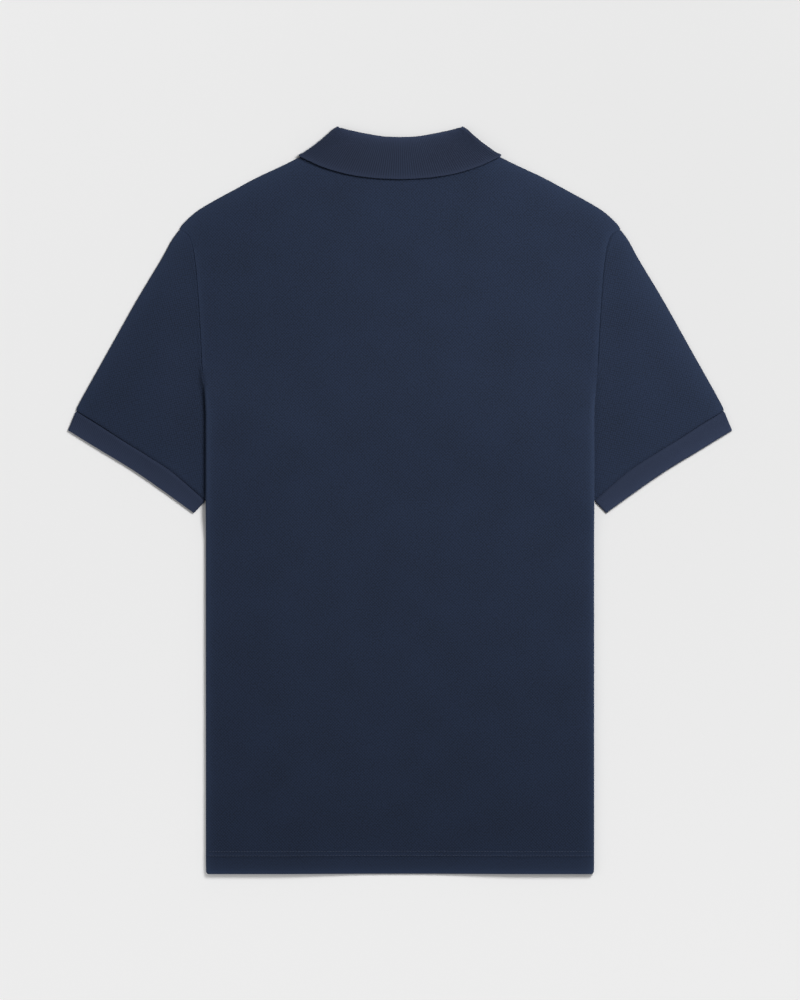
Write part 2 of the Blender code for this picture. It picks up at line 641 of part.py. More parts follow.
def main():
    for thing in list(bpy.data.objects):
        bpy.data.objects.remove(thing)
    shirt = bpy.data.collections.new("polo_shirt")
    cutters = bpy.data.collections.new("cutters")
    for collection in (shirt, cutters):
        bpy.context.scene.collection.children.link(collection)
    pique = material("navy cotton pique", NAVY_PIQUE, 0.9)
    rib = material("navy rib knit", NAVY_RIB, 0.85)
    plastic = material("navy polyester button", NAVY_BUTTON, 0.35)
    body_panel("back_panel", False, pique, shirt)
    body_panel("front_panel", True, pique, shirt)
    for side in (-1, 1):
        sleeve(side, pique, shirt)
        cuff(side, rib, shirt)
    collar(rib, shirt)
    placket(pique, shirt, cutters)
    for number, y in enumerate(BUTTON_Y, 1):
        button(number, y, plastic, shirt, cutters)


main()
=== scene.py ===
"""Polo shirt laid flat with its back up: its cloth, knit, stitching and light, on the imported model.

Frame: metres, +X across the shirt, +Y from the hem to the collar, +Z up. Lengths in the tables are
millimetres, and MM turns them into metres. Each cloth piece is a grid of points on the middle of its
cloth with a normal at each point, and its two faces lie half the thickness out and in along the normals.
"""
import math

import bpy
import numpy as np
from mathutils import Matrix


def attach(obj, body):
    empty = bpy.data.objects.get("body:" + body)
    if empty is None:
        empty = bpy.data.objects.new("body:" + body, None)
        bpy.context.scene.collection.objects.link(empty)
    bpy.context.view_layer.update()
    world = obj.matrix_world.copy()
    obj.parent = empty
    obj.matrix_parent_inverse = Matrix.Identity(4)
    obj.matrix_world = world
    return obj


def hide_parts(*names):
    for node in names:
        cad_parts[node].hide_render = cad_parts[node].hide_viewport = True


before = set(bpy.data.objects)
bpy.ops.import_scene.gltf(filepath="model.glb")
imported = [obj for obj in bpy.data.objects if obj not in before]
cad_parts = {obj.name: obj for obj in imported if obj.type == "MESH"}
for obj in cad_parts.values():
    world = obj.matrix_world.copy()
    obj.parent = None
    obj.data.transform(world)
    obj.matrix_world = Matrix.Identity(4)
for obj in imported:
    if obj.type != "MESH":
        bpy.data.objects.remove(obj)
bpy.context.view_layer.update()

MM = 0.001
X_AXIS = np.array([1.0, 0.0, 0.0])
UP = np.array([0.0, 0.0, 1.0])
MIRROR = np.array([-1, 1, 1])


def table(columns, *rows):
    """A short table: one array in metres for each named column."""
    return dict(zip(columns.split(), np.array(rows, float).T * MM))


def points(rows):
    """Plan points in metres, from the x and y columns of a table."""
    return np.column_stack([rows["x"], rows["y"]])


# Cloth
PIQUE = 1.0 * MM
LAYER = 1.6 * MM  # from one layer of pique to the next
CUFF_RIB = 1.2 * MM
CUFF_LAYER = 1.8 * MM
COLLAR_RIB = 1.3 * MM
SEAM = 0.3 * MM
SEAM_LAP = 0.35 * MM  # how far a sleeve or cuff starts under the edge it is sewn to
CURVED_SEAM = 1.0 * MM
NECK_SEAM = 1.3 * MM

# The body's edge, from the hem up the side fold and the armhole seam, and the shoulder's outline
HEM_Y = -366.5 * MM
BODY_EDGE = table(
    "y x",
    (-366.5, 189.6), (85, 189.6), (100, 190.4), (118, 192.2), (131.9, 193.6),
    (161.3, 195), (197.6, 197.2), (227, 199.5), (245.6, 202.1),
)
ARMHOLE_TOP = table("x y", (202.1, 245.6), (206.9, 259.3), (215.2, 264.6))
SHOULDER = table(
    "x y",
    (85.3, 343.8), (98.6, 335.3), (122.5, 323), (143.1, 313.2), (161.7, 303.4),
    (180.3, 293.6), (197, 283.8), (208.7, 274), (216.2, 265.2),
)
SHOULDER_RETURN = 12 * MM
FRONT_TIP = 0.8  # how far up the armhole's last stretch the front reaches
RETURN_INSET = 0.6 * MM

# The tucked sides
SIDE_SEAM_X = 132 * MM
UNDERARM = np.array([132, 62]) * MM
TUCK_START = np.array([190, 100]) * MM
FLAP_LEVEL_FROM = -110 * MM
UNFOLDED_FROM = 131.9 * MM
BACK_FOLD = 1.5 * LAYER
FRONT_FOLD = 0.5 * LAYER
TUCK_MARGIN = 4 * MM
FRONT_SIDE_RAMP, BACK_SIDE_RAMP = 30 * MM, 110 * MM  # the back spans softly from the sides to the middle
ARMHOLE_RAMP, ARMHOLE_SPREAD = 28 * MM, 0.6
SLEEVE_RISE, SLEEVE_MARGIN, SLEEVE_RAMP = 3.4 * MM, 8 * MM, 20 * MM
NECK_RISE, NECK_MARGIN = 1.9 * MM, 5 * MM
BAND_RISE, PLACKET_MARGIN = 1.3 * MM, 3 * MM
FRONT_RAMP, BACK_RAMP = 36 * MM, 110 * MM  # the slope from the collar's leaves and the placket

# Sleeves and cuffs
UNDER_ARMHOLE = table("x y", (193.1, 123), (189.5, 110), (176, 91.5), (154, 76.4), (132, 62))
SLEEVE_FOLD = table(
    "x y",
    (214.9, 265.7), (223.4, 254.4), (234.2, 234.8), (257.7, 195.6), (285.2, 146.6),
    (312.6, 97.6), (317.3, 87.3),
)
CUFF_SEAM = table(
    "x y", (317.3, 87.3), (295.7, 74.3), (270.7, 58), (245.7, 42.4), (220.7, 25.6), (190.2, -1)
)
CUFF_EDGE = table(
    "x y", (325.4, 67.7), (294, 48.6), (261.7, 29), (233.2, 9.4), (202, -13.4)
)

# Collar: the stand's lower edge, the fold and the fall's free edge
COLLAR_COLUMNS = "neck_x neck_y fold_x fold_y free_x free_y"
COLLAR_BACK = table(
    COLLAR_COLUMNS,
    (0, 322, 0, 353.4, 0, 313.1),
    (21.5, 323, 16.3, 354.1, 26, 314.4),
    (43, 326.4, 32.5, 356.8, 51.5, 318.2),
    (64.5, 333.4, 48, 360.1, 76, 325.4),
    (84.8, 344.9, 61.5, 363.7, 97.5, 335),
)
COLLAR_FRONT = table(
    COLLAR_COLUMNS,
    (84.8, 344.9, 61.5, 363.7, 97.5, 335),
    (66, 308, 46, 326, 84.5, 291),
    (38, 276, 24, 293, 66, 250),
    (1.5, 262, 1.5, 270, 46.5, 219),
)
STAND_OUT = 0.8 * MM
FALL_OUT = 2.5 * MM
COLLAR_MIDDLE = FALL_OUT + COLLAR_RIB / 2

# Placket and buttons
PLACKET_WIDTH = 32 * MM
PLACKET_BOTTOM = 112 * MM
PLACKET_TOP = 262 * MM
BUTTON_Y = (250 * MM, 197 * MM, 144 * MM)
BUTTON_DISH = 0.35 * MM
BUTTONHOLE = (0.8 * MM, 12.5 * MM)  # width and length
BAND_COLUMNS, BAND_ROWS = 9, 12  # points on each side of a buttonhole, and along each stretch
BAND_TAPER, BAND_TAPER_WIDTH = 0.4, 0.8 * MM  # of the thickness, at a band's edges

# Seams: depth and width. Ridges over a seam's allowance: height, distance from the seam and width
SEAM_WIDTH = 0.9 * MM
BODY_SEAM = (0.5 * MM, 2.6 * MM)
BODY_RIDGE = (0.35 * MM, 4.5 * MM, 3 * MM)
COLLAR_GROOVE = (0.6 * MM, 2.2 * MM)
SLEEVE_DEPTH = 0.65 * MM
SLEEVE_RIDGE = (0.25 * MM, 3.4 * MM, 1.6 * MM)
TOP_DEPTH, TOP_DEPTH_AT, TOP_DEPTH_LONG = 0.45 * MM, 11 * MM, 10 * MM  # deeper near the shoulder
TOP_LAP, TOP_LAP_LONG = 1.5 * MM, 14 * MM  # how much further the sleeve starts under the shoulder
SLEEVE_END_DEPTH, CUFF_END_DEPTH = 0.2 * MM, 0.25 * MM
CUFF_DIP = (1.4 * MM, 1.5 * MM)
CUFF_RIDGE = (0.35 * MM, 2.6 * MM, 1.4 * MM)
SEAM_PRESS = 0.5  # of the cloth's thickness, at a seam
ROLL_PRESS, ROLL_PRESS_LONG = 0.45, 0.006  # of the roll's size, at the sleeve's start, and of its length

# Stitches
HEM_STITCH = (17.9 * MM, 22.1 * MM)  # the twin rows, from the hem's edge
HEM_RIDGE = (0.42 * MM, 0.05 * MM)  # of the back, under each row
HEM_RAISE = (0.08 * MM, -0.04 * MM)  # of each row, off the back's face
HEM_GROOVE = 0.3 * MM  # the front's rows lie in grooves of its lower face, clear of the floor
HEM_ROW_BACK, HEM_ROW_FRONT = (187 * MM, 200), (120 * MM, 100)  # half a row's length, and its points
HEM_DROP, HEM_DROP_WIDTH = 0.45 * MM, 6 * MM
STITCH_LONG = 2.1 * MM
STITCH_PITCH = 2.8 * MM
STITCH_SHAPE = np.array([(-1, 0.3), (-0.8, 0.8), (0, 1), (0.8, 0.8), (1, 0.3)])  # half lengths, radii
THREAD = 0.26 * MM  # radius
BAND_STITCH = (2 * MM, 2.3 * MM)  # how far the placket's box of stitches lies in from its sides and ends
BAND_CROSS = 20 * MM  # from the box's lower end to the line across it
HOLE_STITCHES = 24  # on each side of a buttonhole
HOLE_STITCH_OUT, HOLE_STITCH_LONG, HOLE_THREAD = 0.7 * MM, 1.5 * MM, 0.24 * MM
BUTTON_STITCH_LONG, BUTTON_THREAD = 3.6 * MM, 0.23 * MM
BAND_PROUD, BUTTON_PROUD = 0.05 * MM, 0.1 * MM  # how far the threads stand off the band and the dish

# Rubbed-off dye and painted highlight: how much lighter the cloth is painted at an edge, fold or seam, from
# 0 to 1, partly for dye that has rubbed off and partly as a painted highlight where it catches the light,
# and how soon it fades away from it
HEM_WORN_AND_LIT = (0.7, 6 * MM)
SIDE_WORN_AND_LIT = (0.7, 2.2 * MM)
SIDE_BROAD_WORN_AND_LIT = (0.15, 9 * MM)
SIDE_WORN_AND_LIT_TO, SIDE_WORN_AND_LIT_RAMP = 90 * MM, 40 * MM  # up the sides, as far as they are folded
FOLD_WORN_AND_LIT = (0.3, 9 * MM)
ARMHOLE_WORN_AND_LIT, ARMHOLE_WORN_AND_LIT_WIDTH = 0.2, 4 * MM
CUFF_WORN = 0.28
CUFF_EDGE_WORN_AND_LIT = (0.35, 7 * MM)
COLLAR_EDGE_WORN_AND_LIT = (0.3, 3 * MM)
COLLAR_FOLD_WORN_AND_LIT = (0.5, 4 * MM)


def fade(distance, margin, ramp):
    """1 up to the margin, then a cubic slope down to 0 over the ramp."""
    t = np.clip((distance - margin) / ramp, 0, 1)
    return 1 - t * t * (3 - 2 * t)


def swell(distance, width):
    """A bell: e to the minus square of distance over width."""
    return np.exp(-((distance / width) ** 2))


def edge_lightening(distance, share, width):
    """How much lighter the cloth is painted by an edge, for rubbed-off dye and as a painted highlight: a
    share at the edge, times e to the minus distance over width.
    """
    return share * np.exp(-distance / width)


def norm(vectors):
    """The length of each vector, as a column."""
    return np.linalg.norm(vectors, axis=-1, keepdims=True)


def unit(vectors):
    """The same directions at length 1."""
    return vectors / norm(vectors)


def left_of(start, end, x, y):
    """How far points lie to the left of the line from start to end."""
    along = unit(end - start)
    return along[0] * (y - start[1]) - along[1] * (x - start[0])


def curve(through, at):
    """A cubic with central tangents through points, at these fractions of their rows."""
    place = np.clip(at, 0, 1) * (len(through) - 1)
    first = np.minimum(place.astype(int), len(through) - 2)
    t = (place - first)[:, None]
    slope = np.gradient(through, axis=0)
    return (
        (2 * t**3 - 3 * t**2 + 1) * through[first]
        + (t**3 - 2 * t**2 + t) * slope[first]
        + (3 * t**2 - 2 * t**3) * through[first + 1]
        + (t**3 - t**2) * slope[first + 1]
    )


def lengths(grid, axis):
    """Running length along one axis of a grid of points: the sum of the steps so far."""
    step = np.linalg.norm(np.diff(grid, axis=axis), axis=-1)
    return np.insert(np.cumsum(step, axis=axis), 0, 0, axis=axis)


def placed(line, run, at):
    """Points of a line at these running lengths."""
    return np.column_stack([np.interp(at, run, column) for column in line.T])


def spaced(through, at):
    """The cubic of curve at these fractions of its length."""
    fine = curve(through, np.linspace(0, 1, 40 * len(through)))
    run = lengths(fine, 0)
    return placed(fine, run, at * run[-1])


def left_normals(line):
    """The unit plan normals to the left of a line of points."""
    along = unit(np.gradient(line, axis=0))
    return np.column_stack([-along[:, 1], along[:, 0]])


def distance_to(line, x, y):
    """Shortest plan distance from points to a line: the least over its straight steps."""
    place = np.stack([x, y], axis=-1)[..., None, :]
    start, step = line[:-1], np.diff(line, axis=0)
    along = np.clip(((place - start) * step).sum(-1) / (step**2).sum(-1), 0, 1)
    return np.linalg.norm(place - start - along[..., None] * step, axis=-1).min(-1)


def ruled(first, last, left, right, down):
    """Plan grid of straight lines between two edges, at the fractions down, its sides pulled to curves."""
    down = down[:, None, None]
    across = np.linspace(0, 1, len(first))[None, :, None]
    grid = (1 - down) * first + down * last
    for side, ends, weight in ((left, 0, (1 - across) ** 4), (right, -1, across**4)):
        line = spaced(side, down.ravel())[:, None, :]
        grid = grid + weight * (line - (1 - down) * first[ends] - down * last[ends])
    return grid


def roll(start, outward, up, radius, steps, turn=1.0, flat_radius=None):
    """Chords of a half circle that leave start going outward and come back on its other side.

    Chord number n heads down by the turn times pi times n - 1/2 over the number of steps. turn is 1 for
    the half circle and 0 for the same cloth lying flat.
    """
    turn = np.broadcast_to(turn, len(start))[:, None]
    size = turn * radius + (1 - turn) * (flat_radius or radius)
    chord = 2 * size * math.sin(math.pi / (2 * steps))
    place, places, normals = start, [], []
    for step in range(1, steps + 1):
        heading = turn * math.pi * (step - 0.5) / steps
        facing = turn * math.pi * step / steps
        place = place + chord * (np.cos(heading) * outward - np.sin(heading) * up)
        places.append(place)
        normals.append(np.cos(facing) * up + np.sin(facing) * outward)
    return np.stack(places, axis=1), np.stack(normals, axis=1)


def lifted(plan, level):
    """Plan points raised to a level, one number or one for each point."""
    return np.concatenate([plan, np.broadcast_to(level, plan.shape[:-1])[..., None]], axis=-1)


def laid(plan, level):
    """Plan points raised to a level that is a function of x and y."""
    return lifted(plan, level(plan[..., 0], plan[..., 1]))


def level_cloth(places, way):
    """Places with one normal for all."""
    return places, np.broadcast_to(way, places.shape)


def joined(parts, axis=0):
    """Pairs of arrays, such as places and normals, end to end as one pair."""
    return [np.concatenate(arrays, axis=axis) for arrays in zip(*parts)]


def both_sides(half, turn=1):
    """A grid of both sides from its right half, whose mirror image takes the factors of turn."""
    return np.concatenate([half[:, :0:-1] * turn, half], axis=1)


def add_piece(name, places, faces, finish, weave=None, worn_and_lit=None):
    """A mesh object at the origin that rides on the shirt, with its weave and its painted lightening,
    rubbed-off dye and painted highlight, where it has them.
    """
    mesh = bpy.data.meshes.new(name)
    mesh.from_pydata(places.tolist(), [], faces.tolist())
    if weave is not None:
        mesh.uv_layers.new(name="weave").data.foreach_set("uv", weave.ravel())
    if worn_and_lit is not None:
        mesh.attributes.new("worn_and_lit", "FLOAT", "POINT").data.foreach_set("value", worn_and_lit)
    mesh.materials.append(finish)
    mesh.shade_smooth()
    mesh.set_sharp_from_angle(angle=math.radians(50))
    thing = bpy.data.objects.new(name, mesh)
    bpy.context.scene.collection.objects.link(thing)
    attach(thing, "root")
    return thing


def cloth(name, middle, normals, thickness, finish, weave, keep=None, ring=False, raised=0.0, worn_and_lit=0.0):
    """A closed wall: the middle plus and minus half the thickness along the normals, with a rim between.

    keep marks the cells that are cloth, ring joins the last column to the first, raised lifts the outer
    points, weave holds each point's place in the knit, with one more column where ring is true, and
    the last argument says how much lighter the cloth is painted, from 0 to 1, for rubbed-off dye and as
    a painted highlight.
    """
    rows, columns = middle.shape[:2]
    count = rows * columns
    half = np.broadcast_to(thickness, (rows, columns))[..., None] / 2
    lift = np.broadcast_to(raised, (rows, columns))[..., None]
    outer, inner = middle + normals * (half + lift), middle - normals * half
    index = np.arange(count).reshape(rows, columns)
    if ring:
        index = np.column_stack([index, index[:, 0]])
    wide = np.arange(index.size).reshape(index.shape)
    if keep is None:
        keep = np.ones((rows - 1, index.shape[1] - 1), bool)
    face, place = (
        np.column_stack([grid[:-1, :-1][keep], grid[:-1, 1:][keep], grid[1:, 1:][keep], grid[1:, :-1][keep]])
        for grid in (index, wide)
    )
    a, b, d = outer.reshape(-1, 3)[face[:, [0, 1, 3]]].transpose(1, 0, 2)
    if (np.cross(b - a, d - a) * normals.reshape(-1, 3)[face[:, 0]]).sum() < 0:
        face, place = face[:, ::-1], place[:, ::-1]
    start, end = face.ravel(), np.roll(face, -1, axis=1).ravel()
    free = ~np.isin(start * count + end, end * count + start)
    p, q = start[free], end[free]
    rim = np.column_stack([q, p, p + count, q + count])
    p, q = place.ravel()[free], np.roll(place, -1, axis=1).ravel()[free]
    faces = np.concatenate([face, face[:, ::-1] + count, rim])
    used, faces = np.unique(faces, return_inverse=True)
    places = np.concatenate([outer.reshape(-1, 3), inner.reshape(-1, 3)])[used]
    where = np.concatenate([place, place[:, ::-1], np.column_stack([q, p, p, q])])
    worn_and_lit = np.tile(np.broadcast_to(worn_and_lit, (rows, columns)).ravel(), 2)[used]
    return add_piece(name, places, faces.reshape(-1, 4), finish, weave.reshape(-1, 2)[where], worn_and_lit)


def inside_armhole(x, y, spread):
    """1 below the tuck's upper edge, 0 above it, over a ramp that widens by spread towards the middle."""
    above, wider = left_of(UNDERARM, TUCK_START, abs(x), y), spread * np.maximum(TUCK_START[0] - abs(x), 0)
    return fade(above, TUCK_MARGIN, ARMHOLE_RAMP + wider), wider


def tucked(x, y, side_ramp, spread=0.0):
    """1 over the two layers of the tucked side, 0 clear of them."""
    return fade(SIDE_SEAM_X - abs(x), TUCK_MARGIN, side_ramp) * inside_armhole(x, y, spread)[0]


def sleeve_below(x, y, spread=0.0):
    """1 over the part of the sleeve that lies under the body, 0 clear of it."""
    below = left_of(points(CUFF_SEAM)[-1], UNDERARM, abs(x), y)
    inside, wider = inside_armhole(x, y, spread)
    return inside * fade(below, SLEEVE_MARGIN, SLEEVE_RAMP + wider)


def fold_turn(y):
    """How far the side fold is turned: 1 up to the tuck's end, and 0 from where it lies open."""
    return fade(y - TUCK_START[1], 0, UNFOLDED_FROM - TUCK_START[1])


def placket_below(x, y, ends, ramp):
    """1 over the placket, 0 clear of it. ends says whether it also fades above the placket's top."""
    sides = fade(abs(x) - PLACKET_WIDTH / 2, PLACKET_MARGIN, ramp)
    top = fade(y - PLACKET_TOP, PLACKET_MARGIN, ramp) if ends else 1
    return sides * top * fade(PLACKET_BOTTOM - y, PLACKET_MARGIN, ramp)


def neck_below(x, y, ramp):
    """1 over the collar's front leaves and the placket, 0 clear of them."""
    side, tip = (np.array([COLLAR_FRONT["free_x"][end], COLLAR_FRONT["free_y"][end]]) for end in (0, -1))
    outside = -left_of(tip, side, abs(x), y)
    leaves = fade(outside, NECK_MARGIN, ramp) * fade(tip[1] - y, NECK_MARGIN, ramp)
    return 1 - (1 - leaves) * (1 - placket_below(x, y, False, ramp))


def flap_level(x, y):
    """Middle of the back's cloth where it is tucked under, above the surface."""
    return PIQUE / 2 + SLEEVE_RISE * sleeve_below(x, y)


def hem_relief(y, heights):
    """What lifts the cloth along the hem's stitch rows: a bell of each row's height."""
    return sum(high * swell(y - HEM_Y - row, SEAM_WIDTH) for row, high in zip(HEM_STITCH, heights))


def hem_drop(y):
    """How far the back settles on the front at the hem's edge: half a bell."""
    return HEM_DROP * swell(y - HEM_Y, HEM_DROP_WIDTH)


def front_level(x, y):
    """Middle of the front's upper layer: half the cloth plus what the layers below add."""
    lift = 2 * LAYER * tucked(x, y, FRONT_SIDE_RAMP) + SLEEVE_RISE * sleeve_below(x, y)
    groove = hem_relief(y, (HEM_GROOVE, HEM_GROOVE))
    return PIQUE / 2 + lift + NECK_RISE * neck_below(x, y, FRONT_RAMP) + groove


def body_armhole():
    """Plan points of the body's armhole edge, from the tuck's upper end to the shoulder."""
    y = np.linspace(UNFOLDED_FROM, BODY_EDGE["y"][-1], 40)
    edge = np.column_stack([np.interp(y, BODY_EDGE["y"], BODY_EDGE["x"]), y])
    return np.concatenate([edge[:-1], spaced(points(ARMHOLE_TOP), np.linspace(0, 1, 30))])


def seam_dip(distance, depth, width=SEAM_WIDTH):
    """How far cloth turns down into a seam: a bell of the distance from it."""
    return -depth * swell(np.maximum(distance, 0), width)


def seam_ridge(distance, height, at, width):
    """How far cloth rises over a seam's allowance: a bell round a distance from the seam."""
    return height * swell(distance - at, width)


def back_level(x, y):
    """Middle of the back: half the cloth, one layer, and what the layers below add, spread softly."""
    lift = 2 * LAYER * tucked(x, y, BACK_SIDE_RAMP, ARMHOLE_SPREAD)
    lift = lift + SLEEVE_RISE * sleeve_below(x, y, ARMHOLE_SPREAD)
    lift = lift + NECK_RISE * neck_below(x, y, BACK_RAMP) + BAND_RISE * placket_below(x, y, True, BACK_RAMP)
    seam = distance_to(body_armhole(), abs(x), y)
    dip = seam_dip(seam, *BODY_SEAM) + seam_ridge(seam, *BODY_RIDGE)
    free = collar_line(COLLAR_BACK, "free", np.linspace(0, 1, 20))
    dip = dip + seam_dip(distance_to(free, abs(x), y), *COLLAR_GROOVE)
    return PIQUE / 2 + LAYER + lift + dip - hem_drop(y) + hem_relief(y, HEM_RIDGE)


def collar_line(part, name, at):
    """Plan points of one of the collar's lines: neck, fold or free."""
    return curve(np.column_stack([part[name + "_x"], part[name + "_y"]]), at)


# The body's grid: columns out from the middle, with one at the placket's edge and one at the neck point,
# and rows up from the hem, close together at its edge and its stitching
COLUMN_X = np.concatenate(
    [np.linspace(0, 16.3, 6), np.linspace(16.3, 84.3, 24)[1:], np.linspace(84.3, 187.2, 36)[1:]]
) * MM
NOTCH_COLUMN = 5
NECK_COLUMN = 28
HEM_ROWS = np.array(
    [0, 0.12, 0.4, 0.7, 1, 1.4, 1.9, 2.5, 5, 8, 11, 14, 16, 17, 17.5, 17.8, 18.1, 18.6, 19.5, 20.6,
     21.4, 21.8, 22.1, 22.4, 22.8, 23.6, 25]
) * MM
HEM_TAPER = np.array([0.35, 0.75, 0.95])  # of the thickness, at the hem's first rows
HEM_CORNER = 1.2 * MM
TUCK_Y = np.concatenate([HEM_Y + HEM_ROWS, np.linspace(-338, 100, 98) * MM])
ARMHOLE_Y = np.concatenate(
    [np.linspace(100, 112, 5)[1:], np.linspace(112, 131.9, 8)[1:], np.linspace(131.9, 245.6, 30)[1:]]
) * MM
NOTCH_ROW = 4
YOKE_ROWS = 28
FOLD_STEPS = 16
FLAT_COLUMNS = len(COLUMN_X) + FOLD_STEPS // 2  # of the upper layer
OUTER_STEP = 0.47 * MM  # between its last columns, about a step of the back's fold
FOLD_END = (8, 7, 5, 3, 1)  # cells of the fold's lower half, in the rows where it opens out
FLAP_STEPS = 16
SEAM_STEPS = 6
SHOULDER_STEPS = 6
RETURN_STEPS = 4


def armhole_top(reach, rows):
    """Plan points up the armhole's last stretch."""
    return spaced(points(ARMHOLE_TOP), np.linspace(0, reach, rows + 1))


def top_edge(front):
    """Plan points of a panel's top edge: the neckline out to the neck point, then the shoulder."""
    at = np.linspace(0, 1, 60)
    neck = collar_line(COLLAR_FRONT, "neck", at[::-1]) if front else collar_line(COLLAR_BACK, "neck", at)
    neck = neck - left_normals(neck) * (NECK_SEAM if front else CURVED_SEAM)
    shoulder = spaced(points(SHOULDER), at)
    inset = PIQUE / 2 + LAYER / 2 + (SHOULDER_RETURN + SEAM if front else 0)
    shoulder = shoulder - left_normals(shoulder) * inset
    if front:
        meet = np.argmin(norm(neck - shoulder[0]))
        neck = neck[: meet + 1]
        tip = armhole_top(FRONT_TIP, 1)[-1]
        inside = shoulder[2:][shoulder[2:, 0] < tip[0] - SHOULDER_RETURN]
        shoulder = np.concatenate([neck[-1:], inside, tip[None]])
    notch = COLUMN_X[NOTCH_COLUMN]
    near = np.concatenate([[[notch, np.interp(notch, neck[:, 0], neck[:, 1])]], neck[neck[:, 0] > notch]])
    level = np.column_stack([COLUMN_X[:NOTCH_COLUMN], np.full(NOTCH_COLUMN, near[0, 1])])
    over_neck = spaced(near, np.linspace(0, 1, NECK_COLUMN - NOTCH_COLUMN + 1))
    return np.concatenate([level, over_neck, spaced(shoulder, shoulder_places())])


def shoulder_places():
    """Fractions of the shoulder's length for the columns beyond the neck point."""
    x = np.concatenate([COLUMN_X, COLUMN_X[-1] + np.arange(1, FOLD_STEPS // 2 + 1) * OUTER_STEP])
    return (x[NECK_COLUMN + 1 :] - x[NECK_COLUMN]) / (x[-1] - x[NECK_COLUMN])


def body_sections(front, y, edge):
    """Half sections of a panel at heights y, out to its edge: places and normals.

    Each runs out from the middle, round the side fold and back under to the side seam. The fold is a
    half circle, and the front's lies inside the back's. It opens out between the tuck and the armhole.
    """
    fold = FRONT_FOLD if front else (BACK_FOLD - hem_drop(y) / 2)[:, None]
    turn = fold_turn(y)
    headings = np.pi * (np.arange(FOLD_STEPS // 2) + 0.5) / FOLD_STEPS
    chord = 2 * BACK_FOLD * math.sin(math.pi / (2 * FOLD_STEPS))
    reach = np.cos(turn[:, None] * headings).sum(axis=1) * chord
    x = COLUMN_X + (edge - reach - COLUMN_X[-1])[:, None] * (COLUMN_X / COLUMN_X[-1]) ** 3
    plan = np.stack([x, np.broadcast_to(y[:, None], x.shape)], axis=-1)
    upper = laid(plan, front_level if front else back_level)
    parts = [level_cloth(upper, UP)]
    parts.append(roll(upper[:, -1], X_AXIS, UP, fold, FOLD_STEPS, turn, BACK_FOLD))

    along = np.linspace(0, 1, FLAP_STEPS + 1)[1:]
    seam_x = SIDE_SEAM_X + (SEAM if front else 0)
    squeeze = (UNDERARM[1] - FLAP_LEVEL_FROM) / (TUCK_START[1] - FLAP_LEVEL_FROM)
    seam_y = y + np.maximum(y - FLAP_LEVEL_FROM, 0) * (squeeze - 1)
    flap_x = x[:, -1:] + (seam_x - x[:, -1:]) * along
    flap_y = y[:, None] + (seam_y - y)[:, None] * along
    flap = lifted(np.stack([flap_x, flap_y], axis=-1), flap_level(flap_x, flap_y) + (LAYER if front else 0))
    parts.append(level_cloth(flap, -UP))
    if not front:
        parts.append(roll(flap[:, -1], -X_AXIS, -UP, LAYER / 2, SEAM_STEPS))
    return joined(parts, axis=1)


def shoulders(front, first):
    """Rows of a panel from its last section up to the neckline and shoulder: places and normals.

    They are ruled between the two edges and pulled to the armhole. The back goes on in a half circle
    round the shoulder, and a level strip under it meets the front.
    """
    last = top_edge(front)
    side = armhole_top(FRONT_TIP if front else 1, YOKE_ROWS)
    ends = np.array([first[0], last[0]])
    yoke = ruled(first, last, ends, side, np.linspace(0, 1, YOKE_ROWS + 1))[1:]
    yoke = laid(yoke, front_level if front else back_level)
    parts = [level_cloth(yoke, UP)]
    if not front:
        outward = lifted(left_normals(last[NECK_COLUMN:]), 0.0)
        outward = np.concatenate([np.repeat(outward[:1], NECK_COLUMN, 0), outward])
        meets = top_edge(True) + outward[:, :2] * SEAM
        meets[-1] += unit(meets[-2] - meets[-1]) * RETURN_INSET
        seam = laid(meets, front_level)
        drop = np.maximum(yoke[-1, :, 2] - seam[:, 2], LAYER / 2)[:, None]
        places, normals = roll(yoke[-1], outward, UP, drop / 2, SHOULDER_STEPS)
        share = np.linspace(0, 1, RETURN_STEPS + 1)[1:, None, None]
        strip = places[:, -1] + share * (seam - places[:, -1])
        parts.append((places.transpose(1, 0, 2), normals.transpose(1, 0, 2)))
        parts.append(level_cloth(strip, -UP))
    return joined(parts)


def panel_cells(front, rows, columns):
    """Which cells of a panel are cloth, on both sides.

    The fold's lower half ends over a few rows as it opens out, only the shoulders go on past the top
    edge, and the front is cut away at the placket.
    """
    tuck, last = len(TUCK_Y) - 1, FLAT_COLUMNS - 1
    top = tuck + len(ARMHOLE_Y) + YOKE_ROWS
    keep = np.zeros((rows - 1, columns - 1), bool)
    keep[:tuck] = True
    keep[tuck:top, :last] = True
    keep[top:, NECK_COLUMN:last] = True
    for row, cells in enumerate(FOLD_END):
        keep[tuck + row, last : last + cells] = True
    if front:
        keep[tuck + NOTCH_ROW :, :NOTCH_COLUMN] = False
    return np.concatenate([keep[:, ::-1], keep], axis=1)


def panel_worn_and_lit(middle, y, edge):
    """How much lighter half a panel is painted by its hem, side fold, armhole seam and shoulder, for
    rubbed-off dye and as a painted highlight.
    """
    above = (0, len(middle) - len(y))
    height = np.pad(y, above, "edge")[:, None]
    from_side = np.abs(np.pad(edge, above, "edge")[:, None] - middle[..., 0])
    seam = distance_to(body_armhole(), middle[..., 0], middle[..., 1])
    shoulder = distance_to(points(SHOULDER), middle[..., 0], middle[..., 1])
    side = edge_lightening(from_side, *SIDE_WORN_AND_LIT) + edge_lightening(from_side, *SIDE_BROAD_WORN_AND_LIT)
    side = side * fade(height, SIDE_WORN_AND_LIT_TO, SIDE_WORN_AND_LIT_RAMP)
    seam = ARMHOLE_WORN_AND_LIT * swell(seam, ARMHOLE_WORN_AND_LIT_WIDTH)
    return edge_lightening(height - HEM_Y, *HEM_WORN_AND_LIT) + side + seam + edge_lightening(shoulder, *FOLD_WORN_AND_LIT)


